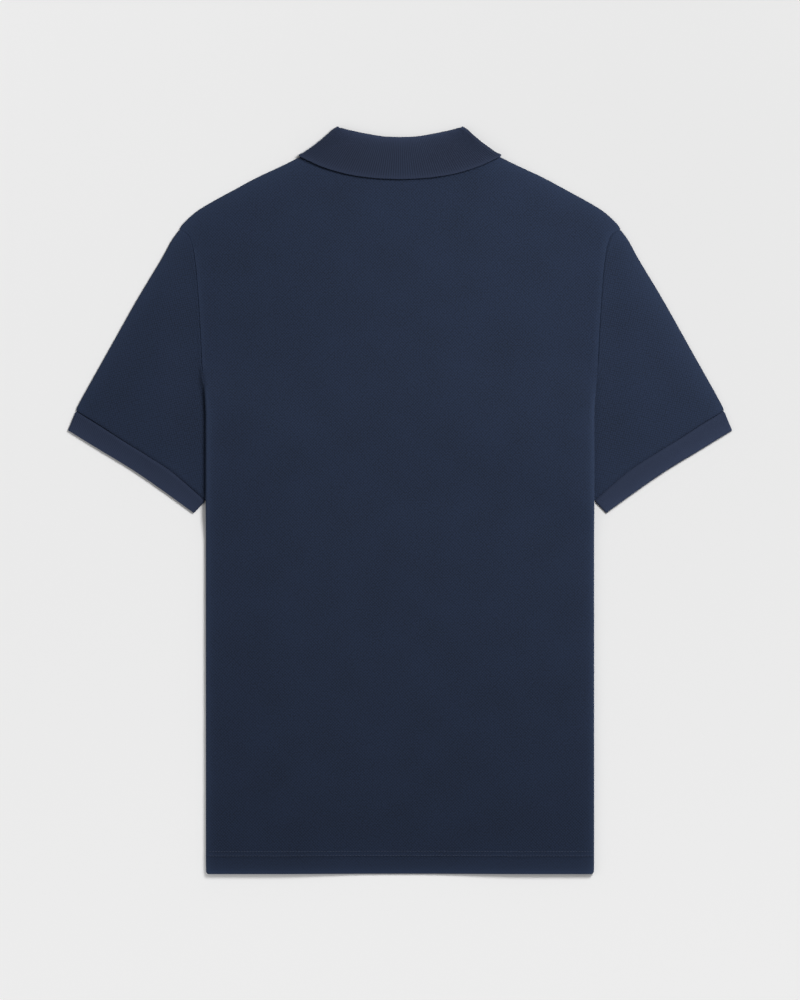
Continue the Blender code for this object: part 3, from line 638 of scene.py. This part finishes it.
def body_panel(name, front, finish):
    """The back or the front: a loft of sections from the hem up, then rows to the neck and shoulders.

    Its place in the knit is its plan, run on round the side fold and round the shoulder.
    """
    y = np.concatenate([TUCK_Y, ARMHOLE_Y])
    edge = np.interp(y, BODY_EDGE["y"], BODY_EDGE["x"]) - HEM_CORNER * swell(y - HEM_Y, HEM_CORNER)
    sections = body_sections(front, y, edge)
    spare = ((0, 0), (0, sections[0].shape[1] - FLAT_COLUMNS), (0, 0))
    above = [np.pad(part, spare) for part in shoulders(front, sections[0][-1, :FLAT_COLUMNS, :2])]
    middle, normals = joined([sections, above])

    last, top = FLAT_COLUMNS - 1, len(y) - 1 + YOKE_ROWS
    weave = middle[..., :2].copy()
    weave[:, last + 1 :, 0] = middle[:, last, None, 0] + lengths(middle[:, last:], 1)[:, 1:]
    weave[:, last + 1 :, 1] = middle[:, last, None, 1]
    weave[top + 1 :, :, 0] = middle[top, :, 0]
    weave[top + 1 :, :, 1] = middle[top, :, 1] + lengths(middle[top:], 0)[1:]
    thickness = np.full((len(middle), 1), PIQUE)
    thickness[: len(HEM_TAPER), 0] *= HEM_TAPER
    keep = panel_cells(front, *middle.shape[:2])
    worn_and_lit = both_sides(panel_worn_and_lit(middle, y, edge))
    middle, normals = both_sides(middle, MIRROR), both_sides(normals, MIRROR)
    return cloth(name, middle, normals, thickness, finish, both_sides(weave, MIRROR[:2]), keep, worn_and_lit=worn_and_lit)


def rib_depth(count):
    """Ribs across a knit: a raised cosine, -1 at each whole count and 0 on the tops between."""
    return -0.5 - 0.5 * np.cos(2 * math.pi * count)


def flat_tube(
    name, plan, outward, seams, raised, weave, roll_width, worn_and_lit, thickness, layer, side, finish, ribs=()
):
    """A sleeve or cuff: rings flattened to an upper and a lower layer that are rolled at both ends.

    plan is a grid of plan points, rows along the arm and columns from the upper fold to the underarm.
    outward holds the plan directions in which the two ends roll. seams is how far the cloth turns in at
    its ends, where it is also pressed thinner, raised is what lifts the upper layer, and weave is that
    layer's place in the knit, which the lower one mirrors, with roll_width of knit round each roll. ribs
    counts the ribs across a layer, which are cut into the outer face between their tops.
    """
    pressed = thickness * (1 - SEAM_PRESS * seams.min(axis=1, keepdims=True) / seams.min())
    upper = lifted(plan, thickness / 2 + layer + seams + raised)
    lower = lifted(plan[:, ::-1], pressed / 2)
    high = upper[:, :, 2] - pressed / 2
    under = roll(upper[:, -1], lifted(outward[1], 0.0), UP, high[:, -1:] / 2, TUBE_STEPS)
    over = roll(lower[:, -1], lifted(outward[0], 0.0), -UP, high[:, :1] / 2, TUBE_STEPS)
    parts = [level_cloth(upper, UP), [part[:, :-1] for part in under]]
    parts += [level_cloth(lower, -UP), [part[:, :-1] for part in over]]
    middle, normals = (part * np.array([side, 1, 1]) for part in joined(parts, axis=1))
    share = np.arange(1, TUBE_STEPS + 1) / TUBE_STEPS
    rolled = share[:, None] * np.array([roll_width, 0])
    back = weave[:, ::-1] * np.array([-1, 1])
    weave = np.concatenate([weave, weave[:, -1:] + rolled[:-1], back, back[:, -1:] + rolled], axis=1)
    cut = 0.0
    if len(ribs):
        cut = RIB_RAISE * rib_depth(np.concatenate([ribs, share[:-1], ribs, share[:-1]]))
    sides = np.ones((1, TUBE_STEPS - 1))
    worn_and_lit = np.concatenate([worn_and_lit, worn_and_lit[:, -1:] * sides, worn_and_lit[:, ::-1], worn_and_lit[:, :1] * sides], axis=1)
    return cloth(name, middle, normals, pressed, finish, weave, ring=True, raised=cut, worn_and_lit=worn_and_lit)


def inset_grid(first, last, outer, inner, down, inset):
    """Plan grid of a tube between its two ends, its folds drawn in from the outline by inset."""
    outer_way = left_normals(spaced(outer, down))
    inner_way = -left_normals(spaced(inner, down))
    grid = ruled(first, last, outer, inner, down)
    across = np.linspace(0, 1, grid.shape[1])[None, :, None]
    grid = grid - inset * (1 - across) ** 4 * outer_way[:, None] - inset * across**4 * inner_way[:, None]
    return grid, (outer_way, inner_way)


# The sleeves' and cuffs' grids, and how they stand
SLEEVE_DOWN = np.concatenate([
    [0, 0.002, 0.005, 0.009, 0.014, 0.02, 0.028, 0.04],
    np.linspace(0.06, 0.94, 44),
    [0.96, 0.975, 0.985, 0.993, 1],
])
CUFF_DOWN = np.array([0, 0.02, 0.05, 0.09, 0.15, 0.25, 0.4, 0.55, 0.7, 0.8, 0.88, 0.94, 0.98, 1])
TUBE_STEPS = 8
UNDERARM_STEPS = 26
CUFF_RIBS = 80  # across a layer, about 2 mm apart
RIB_SAMPLES = 5
RIB_RAISE = 0.3 * MM
RIB_WIDTH = 2 * MM
SLEEVE_CROWN = 2.2 * MM
CROWN_FROM, CROWN_RAMP = 202 * MM, 34 * MM
CUFF_FALL = 0.92  # of the crown, lost from the cuff's seam to its edge
MEET_FROM, MEET_RAMP = 98 * MM, 19.5 * MM  # up the seam, where the sleeve climbs to the raised body
MEET_GAP, MEET_WIDTH = 1.3 * MM, 5.5 * MM


def crown(plan):
    """How far the sleeve's upper layer stands off the lower: a half sine across the arm, 0 by the body."""
    across = np.linspace(0, 1, plan.shape[1])
    return SLEEVE_CROWN * np.sin(math.pi * across) ** 0.8 * (1 - fade(plan[..., 0], CROWN_FROM, CROWN_RAMP))


def sleeve(side, finish):
    """A sleeve, from the armhole seam to the cuff seam; its underarm lies tucked below the body.

    Where the body's fold opens out its upper layer climbs to the body's edge, less a gap that closes
    as the square root of the fold's turn.
    """
    body = body_armhole()[::-1]
    first = np.concatenate([body, spaced(points(UNDER_ARMHOLE), np.linspace(0, 1, UNDERARM_STEPS))])
    run = lengths(first, 0)
    lap = SEAM_LAP + TOP_LAP * swell(run, TOP_LAP_LONG)
    first = first - left_normals(first) * lap[:, None]
    last = spaced(points(CUFF_SEAM), run / run[-1])
    inner = np.array([first[-1], last[-1]])
    inset = (PIQUE + LAYER) / 2 * (1 - ROLL_PRESS * swell(SLEEVE_DOWN, ROLL_PRESS_LONG))
    grid, outward = inset_grid(first, last, points(SLEEVE_FOLD), inner, SLEEVE_DOWN, inset[:, None, None])
    out = lengths(grid, 0)
    left = out[-1] - out
    depth = SLEEVE_DEPTH + TOP_DEPTH * swell(run - TOP_DEPTH_AT, TOP_DEPTH_LONG)
    seams = seam_dip(out - lap, depth) + seam_dip(left, SLEEVE_END_DEPTH)
    x, y = first.T
    meets = back_level(x, y) - PIQUE / 2 - LAYER - MEET_GAP * np.sqrt(fold_turn(y))
    meets = np.maximum(meets, 0) * (1 - fade(y, MEET_FROM, MEET_RAMP))
    raised = crown(grid) + seam_ridge(out, *SLEEVE_RIDGE) + seam_ridge(left, *CUFF_RIDGE)
    raised = raised + meets * swell(out, MEET_WIDTH)
    fold = points(SLEEVE_FOLD)
    along = unit(fold[-1] - fold[1])
    weave = (grid - fold[1]) @ np.array([[along[1], along[0]], [-along[0], along[1]]])
    # Painted highlight along the sleeve's outer fold, with rubbed-off dye
    worn_and_lit = edge_lightening(distance_to(fold, grid[..., 0], grid[..., 1]), *FOLD_WORN_AND_LIT)
    return flat_tube(
        "sleeve_right_cloth" if side > 0 else "sleeve_left_cloth",
        grid, outward, seams, raised, weave, math.pi * LAYER / 2, worn_and_lit, PIQUE, LAYER, side, finish,
    )


def cuff(side, finish):
    """A cuff band, sewn to the sleeve's end."""
    at = np.linspace(0, 1, CUFF_RIBS * RIB_SAMPLES + 1)
    seam = spaced(points(CUFF_SEAM), at)
    first = seam - left_normals(seam) * SEAM_LAP
    last = spaced(points(CUFF_EDGE), at)
    outer, inner = np.array([first[0], last[0]]), np.array([first[-1], last[-1]])
    grid, outward = inset_grid(first, last, outer, inner, CUFF_DOWN, (CUFF_RIB + CUFF_LAYER) / 2)
    out = lengths(grid, 0)
    left = out[-1] - out
    seams = seam_dip(out - SEAM_LAP, *CUFF_DIP) + seam_dip(left, CUFF_END_DEPTH)
    raised = crown(grid) * (1 - CUFF_FALL * out / out[-1]) + seam_ridge(out, *CUFF_RIDGE)
    count = at * CUFF_RIBS
    weave = np.stack([np.broadcast_to(count * RIB_WIDTH, out.shape), out], axis=-1)
    # Paler all over, and lighter towards the free edge: painted light and rubbed-off dye
    worn_and_lit = CUFF_WORN + edge_lightening(left, *CUFF_EDGE_WORN_AND_LIT)
    return flat_tube(
        "cuff_right_knit" if side > 0 else "cuff_left_knit",
        grid, outward, seams, raised, weave, RIB_WIDTH, worn_and_lit, CUFF_RIB, CUFF_LAYER, side, finish, count,
    )


# The collar's grid and form
BACK_RIBS = 42  # from the middle of the back to the side, about 2 mm apart
FRONT_RIBS = 60
BACK_RIB_SHARE, SIDE_RIB_SHARE = 0.5, 1.2  # of the ribs' rise: at the middle, and what each side adds
RIB_BORDER = 3 * MM
COLLAR_FOLD_STEPS = 10
COLLAR_TURN_STEPS = 12
COLLAR_BOW, COLLAR_BOW_WIDTH = 1.6 * MM, 16 * MM  # how far each side of the fall curves in
PEAK_RISE, PEAK_RISE_WIDTH = 0.8 * MM, 6 * MM  # each corner of the fold is rounded
PEAK_PULL, PEAK_PULL_LONG, PEAK_PULL_DOWN = 1.3 * MM, 5 * MM, 3 * MM
COLLAR_CROWN, COLLAR_LIFT = 0.7 * MM, 2.2 * MM
# The strip's rows: place, share of the thickness and share of the ribs' rise. Stand: neck to fold. Fall:
# fold to border. Edge: border to free edge, counted back from it
STAND_ROWS = ((0, 0.5, 0), (0.03, 1, 0.6), (0.3, 1, 1), (0.65, 1, 1), (1, 1, 1))
FALL_PLACES = (0, 0.03, 0.08, 0.16, 0.3, 0.5, 0.7, 0.88, 0.97)
FALL_ROWS = (*((place, 1, 1) for place in FALL_PLACES), (1, 1, 0.35))
EDGE_ROWS = ((0.9, 1, 0), (0.35, 1, 0), (0.12, 0.97, 0), (0.04, 0.88, 0), (0, 0.65, 0))


def collar(finish):
    """The collar: one knitted strip folded into stand and fall, flattened with the neck it goes round.

    Every point is a plan point plus a distance along a direction that is up at the back, turns outwards
    at the sides and is down at the front. Stand and fall are two such distances, and the fold between
    them is a half circle. Each rib is a raised cosine across the strip, fanned out with it.
    """
    back_at = np.linspace(0, 1, BACK_RIBS * RIB_SAMPLES + 1)
    front_at = np.linspace(0, 1, FRONT_RIBS * RIB_SAMPLES + 1)
    turning = np.arange(1, COLLAR_TURN_STEPS) * math.pi / COLLAR_TURN_STEPS
    angle = np.concatenate([0 * back_at, turning, 0 * front_at + math.pi])
    lines = []
    for name in ("neck", "fold", "free"):
        back = collar_line(COLLAR_BACK, name, back_at)
        front = collar_line(COLLAR_FRONT, name, front_at)
        line = np.concatenate([back, np.repeat(back[-1:], len(turning), 0), front])
        lines.append(lifted(line, COLLAR_MIDDLE))
    neck, fold, free = lines
    side = len(back_at) - 1
    outward = unit(np.cross(fold[side] - free[side], UP))
    way = np.cos(angle)[:, None] * UP + np.sin(angle)[:, None] * outward
    up_stand = unit(fold - neck)
    from_side = lengths(free, 0) - lengths(free, 0)[side]
    fold = fold + PEAK_RISE * swell(from_side, PEAK_RISE_WIDTH)[:, None] * up_stand
    long = norm(free - fold)
    bow = COLLAR_BOW * swell(from_side, COLLAR_BOW_WIDTH)[:, None] * outward
    peak = PEAK_PULL * swell(from_side, PEAK_PULL_LONG)[:, None] * outward
    upward = np.clip(np.cos(angle), 0, 1)[:, None] * UP

    def pulled(place):
        """A place moved in from the side, most half way down the fall and at the fold's corner."""
        down = norm(place - fold)
        share = down / long
        return place - 4 * share * (1 - share) * bow - swell(down, PEAK_PULL_DOWN) * peak

    rows = []
    for share, thin, rib in STAND_ROWS:
        rows.append((pulled(neck + (fold - neck) * share) + way * STAND_OUT, -way, thin, rib))
    for step in range(1, COLLAR_FOLD_STEPS):
        bend = math.pi * step / COLLAR_FOLD_STEPS
        facing = math.sin(bend) * up_stand - math.cos(bend) * way
        place = pulled(fold) + way * (STAND_OUT + FALL_OUT) / 2 + (FALL_OUT - STAND_OUT) / 2 * facing
        rows.append((place, facing, 1, 1))
    fold_row = len(rows)
    border = fold + (free - fold) * (1 - RIB_BORDER / long)
    falls = [(fold, border, *row) for row in FALL_ROWS] + [(free, border, *row) for row in EDGE_ROWS]
    for start, end, share, thin, rib in falls:
        place = start + (end - start) * share
        down = norm(place - fold) / long
        arch = np.sin(math.pi * np.clip(down, 0, 1)) ** 0.6 * COLLAR_CROWN + down * COLLAR_LIFT
        rows.append((pulled(place) + way * FALL_OUT + arch * upward, way, thin, rib))
    middle, normals, taper, ribbed = (np.array(column) for column in zip(*rows))

    count = np.concatenate([
        back_at * BACK_RIBS, np.full(len(turning), BACK_RIBS), BACK_RIBS + front_at * FRONT_RIBS
    ])
    rise = RIB_RAISE * (BACK_RIB_SHARE + SIDE_RIB_SHARE * np.clip(count / BACK_RIBS, 0, 1))
    raised = np.outer(ribbed, rib_depth(count) * rise)
    run = lengths(middle, 0)
    weave = np.stack([np.broadcast_to(count * RIB_WIDTH, run.shape), run], axis=-1)
    # Lighter at the free edge and the fold: painted highlight and rubbed-off dye
    worn_and_lit = edge_lightening(run[-1] - run, *COLLAR_EDGE_WORN_AND_LIT) + edge_lightening(abs(run - run[fold_row]), *COLLAR_FOLD_WORN_AND_LIT)
    return cloth(
        "collar_knit", both_sides(middle, MIRROR), both_sides(normals, MIRROR), COLLAR_RIB * taper[:, None],
        finish, both_sides(weave, MIRROR[:2]), raised=both_sides(raised), worn_and_lit=both_sides(worn_and_lit),
    )


def band(name, base, holes, finish):
    """A placket band: a level wall, thinner at its edges, with buttonholes where holes is true."""
    half = PLACKET_WIDTH / 2
    wide, long = BUTTONHOLE
    x = np.linspace(wide / 2, half, BAND_COLUMNS)
    x = np.concatenate([-x[::-1], x])
    slots = np.array([(y - long / 2, y + long / 2) for y in BUTTON_Y[::-1]])
    y = np.concatenate([[PLACKET_BOTTOM + SEAM], slots.ravel(), [PLACKET_TOP - SEAM]])
    y = np.unique(np.concatenate([np.linspace(a, b, BAND_ROWS) for a, b in zip(y[:-1], y[1:])]).round(7))
    plan = np.stack(np.broadcast_arrays(x[None, :], y[:, None]), axis=-1)
    middle, normals = level_cloth(lifted(plan, base + PIQUE / 2), UP)
    centre = (y[:-1] + y[1:])[:, None] / 2
    inside = ((centre > slots[:, 0]) & (centre < slots[:, 1])).any(axis=1)
    keep = np.ones((len(y) - 1, len(x) - 1), bool)
    keep[inside, BAND_COLUMNS - 1] = not holes
    edge = np.minimum(half - abs(plan[..., 0]), np.minimum(plan[..., 1] - y[0], y[-1] - plan[..., 1]))
    thickness = PIQUE * (1 - BAND_TAPER * (1 - np.clip(edge / BAND_TAPER_WIDTH, 0, 1)))
    return cloth(name, middle, normals, thickness, finish, plan, keep)


def threads(name, centres, ways, side, finish, long=STITCH_LONG, radius=THREAD):
    """Stitches: a spindle at each centre, its six-sided section shrinking to both ends along its way.

    side is +1 for stitches on a face that looks up and -1 for one that looks down.
    """
    along, size = STITCH_SHAPE.T[:, None, :, None, None]
    turn = (np.arange(6) * math.pi / 3)[None, None, :, None]
    across, ways = np.cross(side * UP, ways)[:, None, None, :], ways[:, None, None, :]
    ring = np.cos(turn) * across + np.sin(turn) * side * UP
    places = centres[:, None, None, :] + along * long / 2 * ways + size * radius * ring
    index = np.arange(6 * len(STITCH_SHAPE)).reshape(-1, 6)
    after = np.roll(index, -1, axis=1)
    quads = np.stack([index[:-1], after[:-1], after[1:], index[1:]], axis=-1).reshape(-1, 4)
    caps = [index[0, [[2, 1, 0, 3], [3, 0, 5, 4]]], index[-1, [[0, 1, 2, 3], [0, 3, 4, 5]]]]
    faces = np.concatenate([quads, *caps]) + index.size * np.arange(len(centres))[:, None, None]
    thing = add_piece(name, places.reshape(-1, 3), faces.reshape(-1, 4), finish)
    return thing


def stitch_run(line):
    """Centres and directions of stitches laid end to end along a line of points."""
    run = lengths(line, 0)
    at = np.arange(STITCH_PITCH / 2, run[-1], STITCH_PITCH)
    places = placed(line, run, at)
    return places, unit(placed(line, run, at + STITCH_PITCH / 4) - places)


def hem_rows(reach, count, level, face, raised=(0, 0)):
    """Both rows of the hem's stitches, along a face of the cloth and raised off it."""
    x = np.linspace(-reach, reach, count)
    rows = [laid(np.column_stack([x, np.full(count, HEM_Y + out)]), level) for out in HEM_STITCH]
    return joined([stitch_run(row + UP * (face + off)) for row, off in zip(rows, raised)])


def placket_sewing(finish):
    """The placket's box of stitches, the bars beside each buttonhole and the threads in the buttons."""
    level = NECK_RISE - BAND_PROUD
    side = PLACKET_WIDTH / 2 - BAND_STITCH[0]
    low, high = PLACKET_BOTTOM + BAND_STITCH[1], PLACKET_TOP - BAND_STITCH[1]
    box = [(-side, high), (-side, low), (side, low), (side, high)]
    cross = [(-side, low + BAND_CROSS), (side, low + BAND_CROSS)]
    rows = [stitch_run(lifted(np.array(path), level)) for path in (box[:2], box[1:3], box[2:], cross)]
    made = [threads("placket_stitches", *joined(rows), -1, finish)]
    wide, long = BUTTONHOLE
    out, step = wide / 2 + HOLE_STITCH_OUT, np.linspace(-long / 2, long / 2, HOLE_STITCHES)
    spots = [(edge * out, y + up) for edge in (-1, 1) for y in BUTTON_Y for up in step]
    spots = lifted(np.array(spots), level)
    ways = np.broadcast_to(X_AXIS, spots.shape)
    made.append(threads("buttonhole_stitches", spots, ways, -1, finish, HOLE_STITCH_LONG, HOLE_THREAD))
    turn = np.radians([45, 135])
    spots = np.array([(0, y, BUTTON_DISH - BUTTON_PROUD) for y in BUTTON_Y for _ in turn])
    ways = np.tile(np.column_stack([np.cos(turn), np.sin(turn), 0 * turn]), (len(BUTTON_Y), 1))
    made.append(threads("button_threads", spots, ways, -1, finish, BUTTON_STITCH_LONG, BUTTON_THREAD))
    return made


# The materials' patterns, each from its real size
YARN_SPECK = MM / 2.2  # 0.45 mm
DYE_CLOUD = 1000 * MM / 24  # 42 mm
LOOP_HEIGHT = 0.15 * MM
PIQUE_CELL = 2.1 * MM
THREAD_PLY = 0.35 * MM
BUTTON_CLOUD = MM / 0.26  # 3.8 mm


def srgb(code):
    """A linear colour from an sRGB hex code."""
    value = np.array([int(code[i : i + 2], 16) for i in (1, 3, 5)]) / 255
    linear = np.where(value <= 0.04045, value / 12.92, ((value + 0.055) / 1.055) ** 2.4)
    return (*linear.tolist(), 1.0)


def node(tree, kind, inputs=(), output=0, **settings):
    """Adds a shader node, links each input to a socket or sets it to a value, and gives one output."""
    made = tree.nodes.new("ShaderNode" + kind)
    for name, value in settings.items():
        setattr(made, name, value)
    for name, value in dict(inputs).items():
        if isinstance(value, bpy.types.NodeSocket):
            tree.links.new(value, made.inputs[name])
        else:
            made.inputs[name].default_value = value
    return made.outputs[output] if made.outputs else None


def material(name, surface, *details):
    """A material whose surface is what a function adds to its tree."""
    made = bpy.data.materials.new(name)
    made.use_nodes = True
    made.node_tree.nodes.clear()
    node(made.node_tree, "OutputMaterial", {"Surface": surface(made.node_tree, *details)})
    return made


def fabric(tree, pit, face, faded_and_lit, pattern, relief):
    """Dyed cotton knit: loops that stand up between darker pits, matt, with a soft fuzz at grazing light.

    pattern adds the nodes of the loops' height, from 0 to 1, to the tree, with the place in the knit.
    Specks of yarn add to the height, broad clouds of dye to the shade, and the pieces' painted lightening,
    for rubbed-off dye and as a painted highlight at edges, folds and seams, mixes in the third colour.
    """
    place = node(tree, "UVMap", uv_map="weave")
    loops = pattern(tree, place)
    yarn, broad = (
        node(tree, "TexNoise", {"Vector": place, "Scale": 1 / size, "Detail": 3.0})
        for size in (YARN_SPECK, DYE_CLOUD)
    )
    height = node(tree, "Math", {0: yarn, 1: 0.7, 2: loops}, operation="MULTIPLY_ADD")
    shade = node(tree, "Math", {0: broad, 1: 0.7, 2: height}, operation="MULTIPLY_ADD")
    shade = node(tree, "MapRange", {"Value": shade, "From Min": 0.5, "From Max": 1.7})
    colour = node(tree, "Mix", {0: shade, 6: srgb(pit), 7: srgb(face)}, 2, data_type="RGBA")
    # Painted highlight and rubbed-off dye: the pieces' lightening mixes in the third colour
    worn_and_lit = node(tree, "Attribute", output="Fac", attribute_name="worn_and_lit")
    colour = node(tree, "Mix", {0: worn_and_lit, 6: colour, 7: srgb(faded_and_lit)}, 2, data_type="RGBA")
    bump = node(tree, "Bump", {"Height": height, "Strength": relief, "Distance": LOOP_HEIGHT})
    return node(tree, "BsdfPrincipled", {
        "Base Color": colour, "Roughness": 0.9, "IOR": 1.45, "Specular IOR Level": 0.2, "Normal": bump,
        "Sheen Weight": 0.35, "Sheen Roughness": 0.35, "Sheen Tint": srgb("#8fa3c8"),
    })


def pique_loops(tree, place):
    """Honeycomb of tuck loops in diagonal rows. Real cells are 1.2 mm, too fine to show; these are 2.1."""
    spot = node(tree, "Mapping", {"Vector": place, "Scale": (1 / PIQUE_CELL, 1 / PIQUE_CELL, 1)})
    spot = node(tree, "Mapping", {"Vector": spot, "Rotation": (0, 0, math.radians(45))})
    cells = {"Vector": spot, "Scale": 1.0, "Randomness": 0.3}
    far = node(tree, "TexVoronoi", cells, "Distance", voronoi_dimensions="2D", feature="F1")
    rise = {"Value": far, "From Min": 0.15, "From Max": 0.6, "To Min": 1.0, "To Max": 0.0}
    return node(tree, "MapRange", rise, interpolation_type="SMOOTHSTEP")


def rib_loops(tree, place):
    """Knitted ribs side by side, one to each 2 mm of the map, which follows the ribs of the form."""
    wave = {"Vector": place, "Scale": math.pi / (10 * RIB_WIDTH), "Phase Offset": -math.pi / 2}
    return node(tree, "TexWave", wave, "Fac", bands_direction="X")


def thread_plies(tree, place):
    """Fine slanting plies, one to each ply's width."""
    wave = {"Vector": place, "Scale": 1 / (2 * THREAD_PLY), "Distortion": 0.5}
    return node(tree, "TexWave", wave, "Fac", bands_direction="DIAGONAL")


def dye_clouds(tree, place):
    """Faint clouds that the dye leaves in cast plastic."""
    return node(tree, "TexNoise", {"Vector": place, "Scale": 1 / BUTTON_CLOUD, "Detail": 3.0})


def polyester(tree, dark, light, pattern, roughness, index):
    """Dyed polyester, faintly glossy as spun thread and smooth and glossy as a cast and polished button.

    pattern adds the nodes that mix its two shades, from 0 to 1, to the tree, with the place in space.
    """
    shade = pattern(tree, node(tree, "TexCoord", output="Object"))
    colour = node(tree, "Mix", {0: shade, 6: srgb(dark), 7: srgb(light)}, 2, data_type="RGBA")
    return node(tree, "BsdfPrincipled", {"Base Color": colour, "Roughness": roughness, "IOR": index})


# The lamps: name, place, size and power. Each looks at the middle of the floor.
LAMPS = (
    ("key", (0.53, 0.61, 1.15), 0.55, 19.4),
    ("fill", (-1.0, -0.1, 0.9), 0.8, 2.0),
)
ROOM_LIGHT = 0.24
PAPER_LEVEL = 0.86  # linear, as seen
PAPER_WHITE = 0.85
FLOOR_REACH, FLOOR_GAP = 12.0, 0.2 * MM
CAMERA_LENS, CAMERA_PLACE = 110.2, (0, -0.4 * MM, 3.0)


def floor_paper(tree):
    """Matt white paper that looks even beside lamps: its white is graded against the light it receives.

    The light at a point is the room's, plus each lamp's power times its height times the cosine at the
    lamp over distance to the power of three. The white makes up the level as far as paper can, and a
    glow from below the rest.
    """
    place = node(tree, "TexCoord", output="Object")
    light = ROOM_LIGHT
    for _, lamp, _, power in LAMPS:
        aim = tuple(unit(np.array(lamp)))
        ray = node(tree, "VectorMath", {0: lamp, 1: place}, operation="SUBTRACT")
        far = node(tree, "VectorMath", {0: ray}, "Value", operation="LENGTH")
        facing = node(tree, "VectorMath", {0: ray, 1: aim}, "Value", operation="DOT_PRODUCT")
        drop = node(tree, "Math", {0: far, 1: -4.0}, operation="POWER")
        drop = node(tree, "Math", {0: drop, 1: facing}, operation="MULTIPLY")
        full = power * lamp[2] / math.pi**2
        light = node(tree, "Math", {0: drop, 1: full, 2: light}, operation="MULTIPLY_ADD")
    white = node(tree, "Math", {0: PAPER_LEVEL, 1: light}, operation="DIVIDE")
    white = node(tree, "Math", {0: white, 1: PAPER_WHITE}, operation="MINIMUM")
    given = node(tree, "Math", {0: white, 1: light}, operation="MULTIPLY")
    glow = node(tree, "Math", {0: PAPER_LEVEL, 1: given}, operation="SUBTRACT")
    return node(tree, "BsdfPrincipled", {
        "Base Color": white, "Roughness": 1.0, "Specular IOR Level": 0.0,
        "Emission Color": srgb("#ffffff"), "Emission Strength": glow,
    })


def area_light(name, place, size, power):
    """A soft square light that looks at the middle of the floor."""
    lamp = bpy.data.lights.new(name, "AREA")
    lamp.size = size
    lamp.energy = power
    thing = bpy.data.objects.new(name, lamp)
    thing.location = place
    thing.rotation_euler = (math.acos(place[2] / math.hypot(*place)), 0, math.atan2(place[0], -place[1]))
    thing.visible_camera = False
    bpy.context.scene.collection.objects.link(thing)


def studio():
    """Floor, a key from the upper right, a weak fill, pale surroundings and a camera straight above."""
    scene = bpy.context.scene
    scene.view_settings.view_transform = "Standard"
    corners = np.array([(-1, -1), (1, -1), (1, 1), (-1, 1)]) * FLOOR_REACH
    mesh = bpy.data.meshes.new("floor")
    mesh.from_pydata(lifted(corners, -FLOOR_GAP).tolist(), [], [(0, 1, 2, 3)])
    mesh.materials.append(material("matt white paper", floor_paper))
    floor = bpy.data.objects.new("floor", mesh)
    scene.collection.objects.link(floor)
    world = bpy.data.worlds.new("pale room")
    world.use_nodes = True
    scene.world = world
    sky = world.node_tree.nodes["Background"].inputs
    sky["Color"].default_value = srgb("#fdfdfd")
    sky["Strength"].default_value = ROOM_LIGHT
    for lamp in LAMPS:
        area_light(*lamp)
    camera = bpy.data.cameras.new("camera")
    camera.lens = CAMERA_LENS
    camera.clip_end = 20
    view = bpy.data.objects.new("camera", camera)
    view.location = CAMERA_PLACE
    scene.collection.objects.link(view)
    scene.camera = view


def main():
    """Makes the pieces, hides the imported parts that they replace, gives the buttons their plastic and sets
    up the studio.
    """
    # The third colour of each cloth is painted where edges, folds and seams are lighter, for rubbed-off dye
    # and as a painted highlight
    pique = material(
        "navy cotton pique knit", fabric, "#192130", "#212c42", "#303d56", pique_loops, 0.4
    )
    rib = material("navy cotton rib knit", fabric, "#1c2130", "#222b3e", "#333d55", rib_loops, 0.2)
    thread = material(
        "navy spun polyester thread", polyester, "#262e40", "#3b465e", thread_plies, 0.55, 1.5
    )
    plastic = material(
        "navy cast polyester button", polyester, "#151b28", "#28303f", dye_clouds, 0.22, 1.54
    )

    front = body_panel("front_cloth", True, pique)
    back = body_panel("back_cloth", False, pique)
    sleeves = [sleeve(side, pique) for side in (-1, 1)]
    cuffs = [cuff(side, rib) for side in (-1, 1)]
    neck = collar(rib)
    outer_band = band("placket_upper_band", NECK_RISE, True, pique)
    inner_band = band("placket_under_band", NECK_RISE + BAND_RISE, False, pique)

    sewn = hem_rows(*HEM_ROW_BACK, back_level, PIQUE / 2, HEM_RAISE)
    hem_back = threads("hem_stitches_back", *sewn, 1, thread)
    sewn = hem_rows(*HEM_ROW_FRONT, front_level, -PIQUE / 2)
    hem_front = threads("hem_stitches_front", *sewn, -1, thread)
    band_stitches, hole_stitches, button_threads = placket_sewing(thread)

    for piece, node_name in (
        (back, "back_panel"), (front, "front_panel"),
        (sleeves[0], "sleeve_left"), (sleeves[1], "sleeve_right"),
        (outer_band, "placket_outer"), (inner_band, "placket_inner"),
    ):
        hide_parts(node_name)
    for piece, node_name in ((cuffs[0], "cuff_left"), (cuffs[1], "cuff_right"), (neck, "collar")):
        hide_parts(node_name)
    for number in (1, 2, 3):
        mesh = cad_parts[f"button_{number}"].data
        mesh.materials.clear()
        mesh.materials.append(plastic)

    studio()


main()
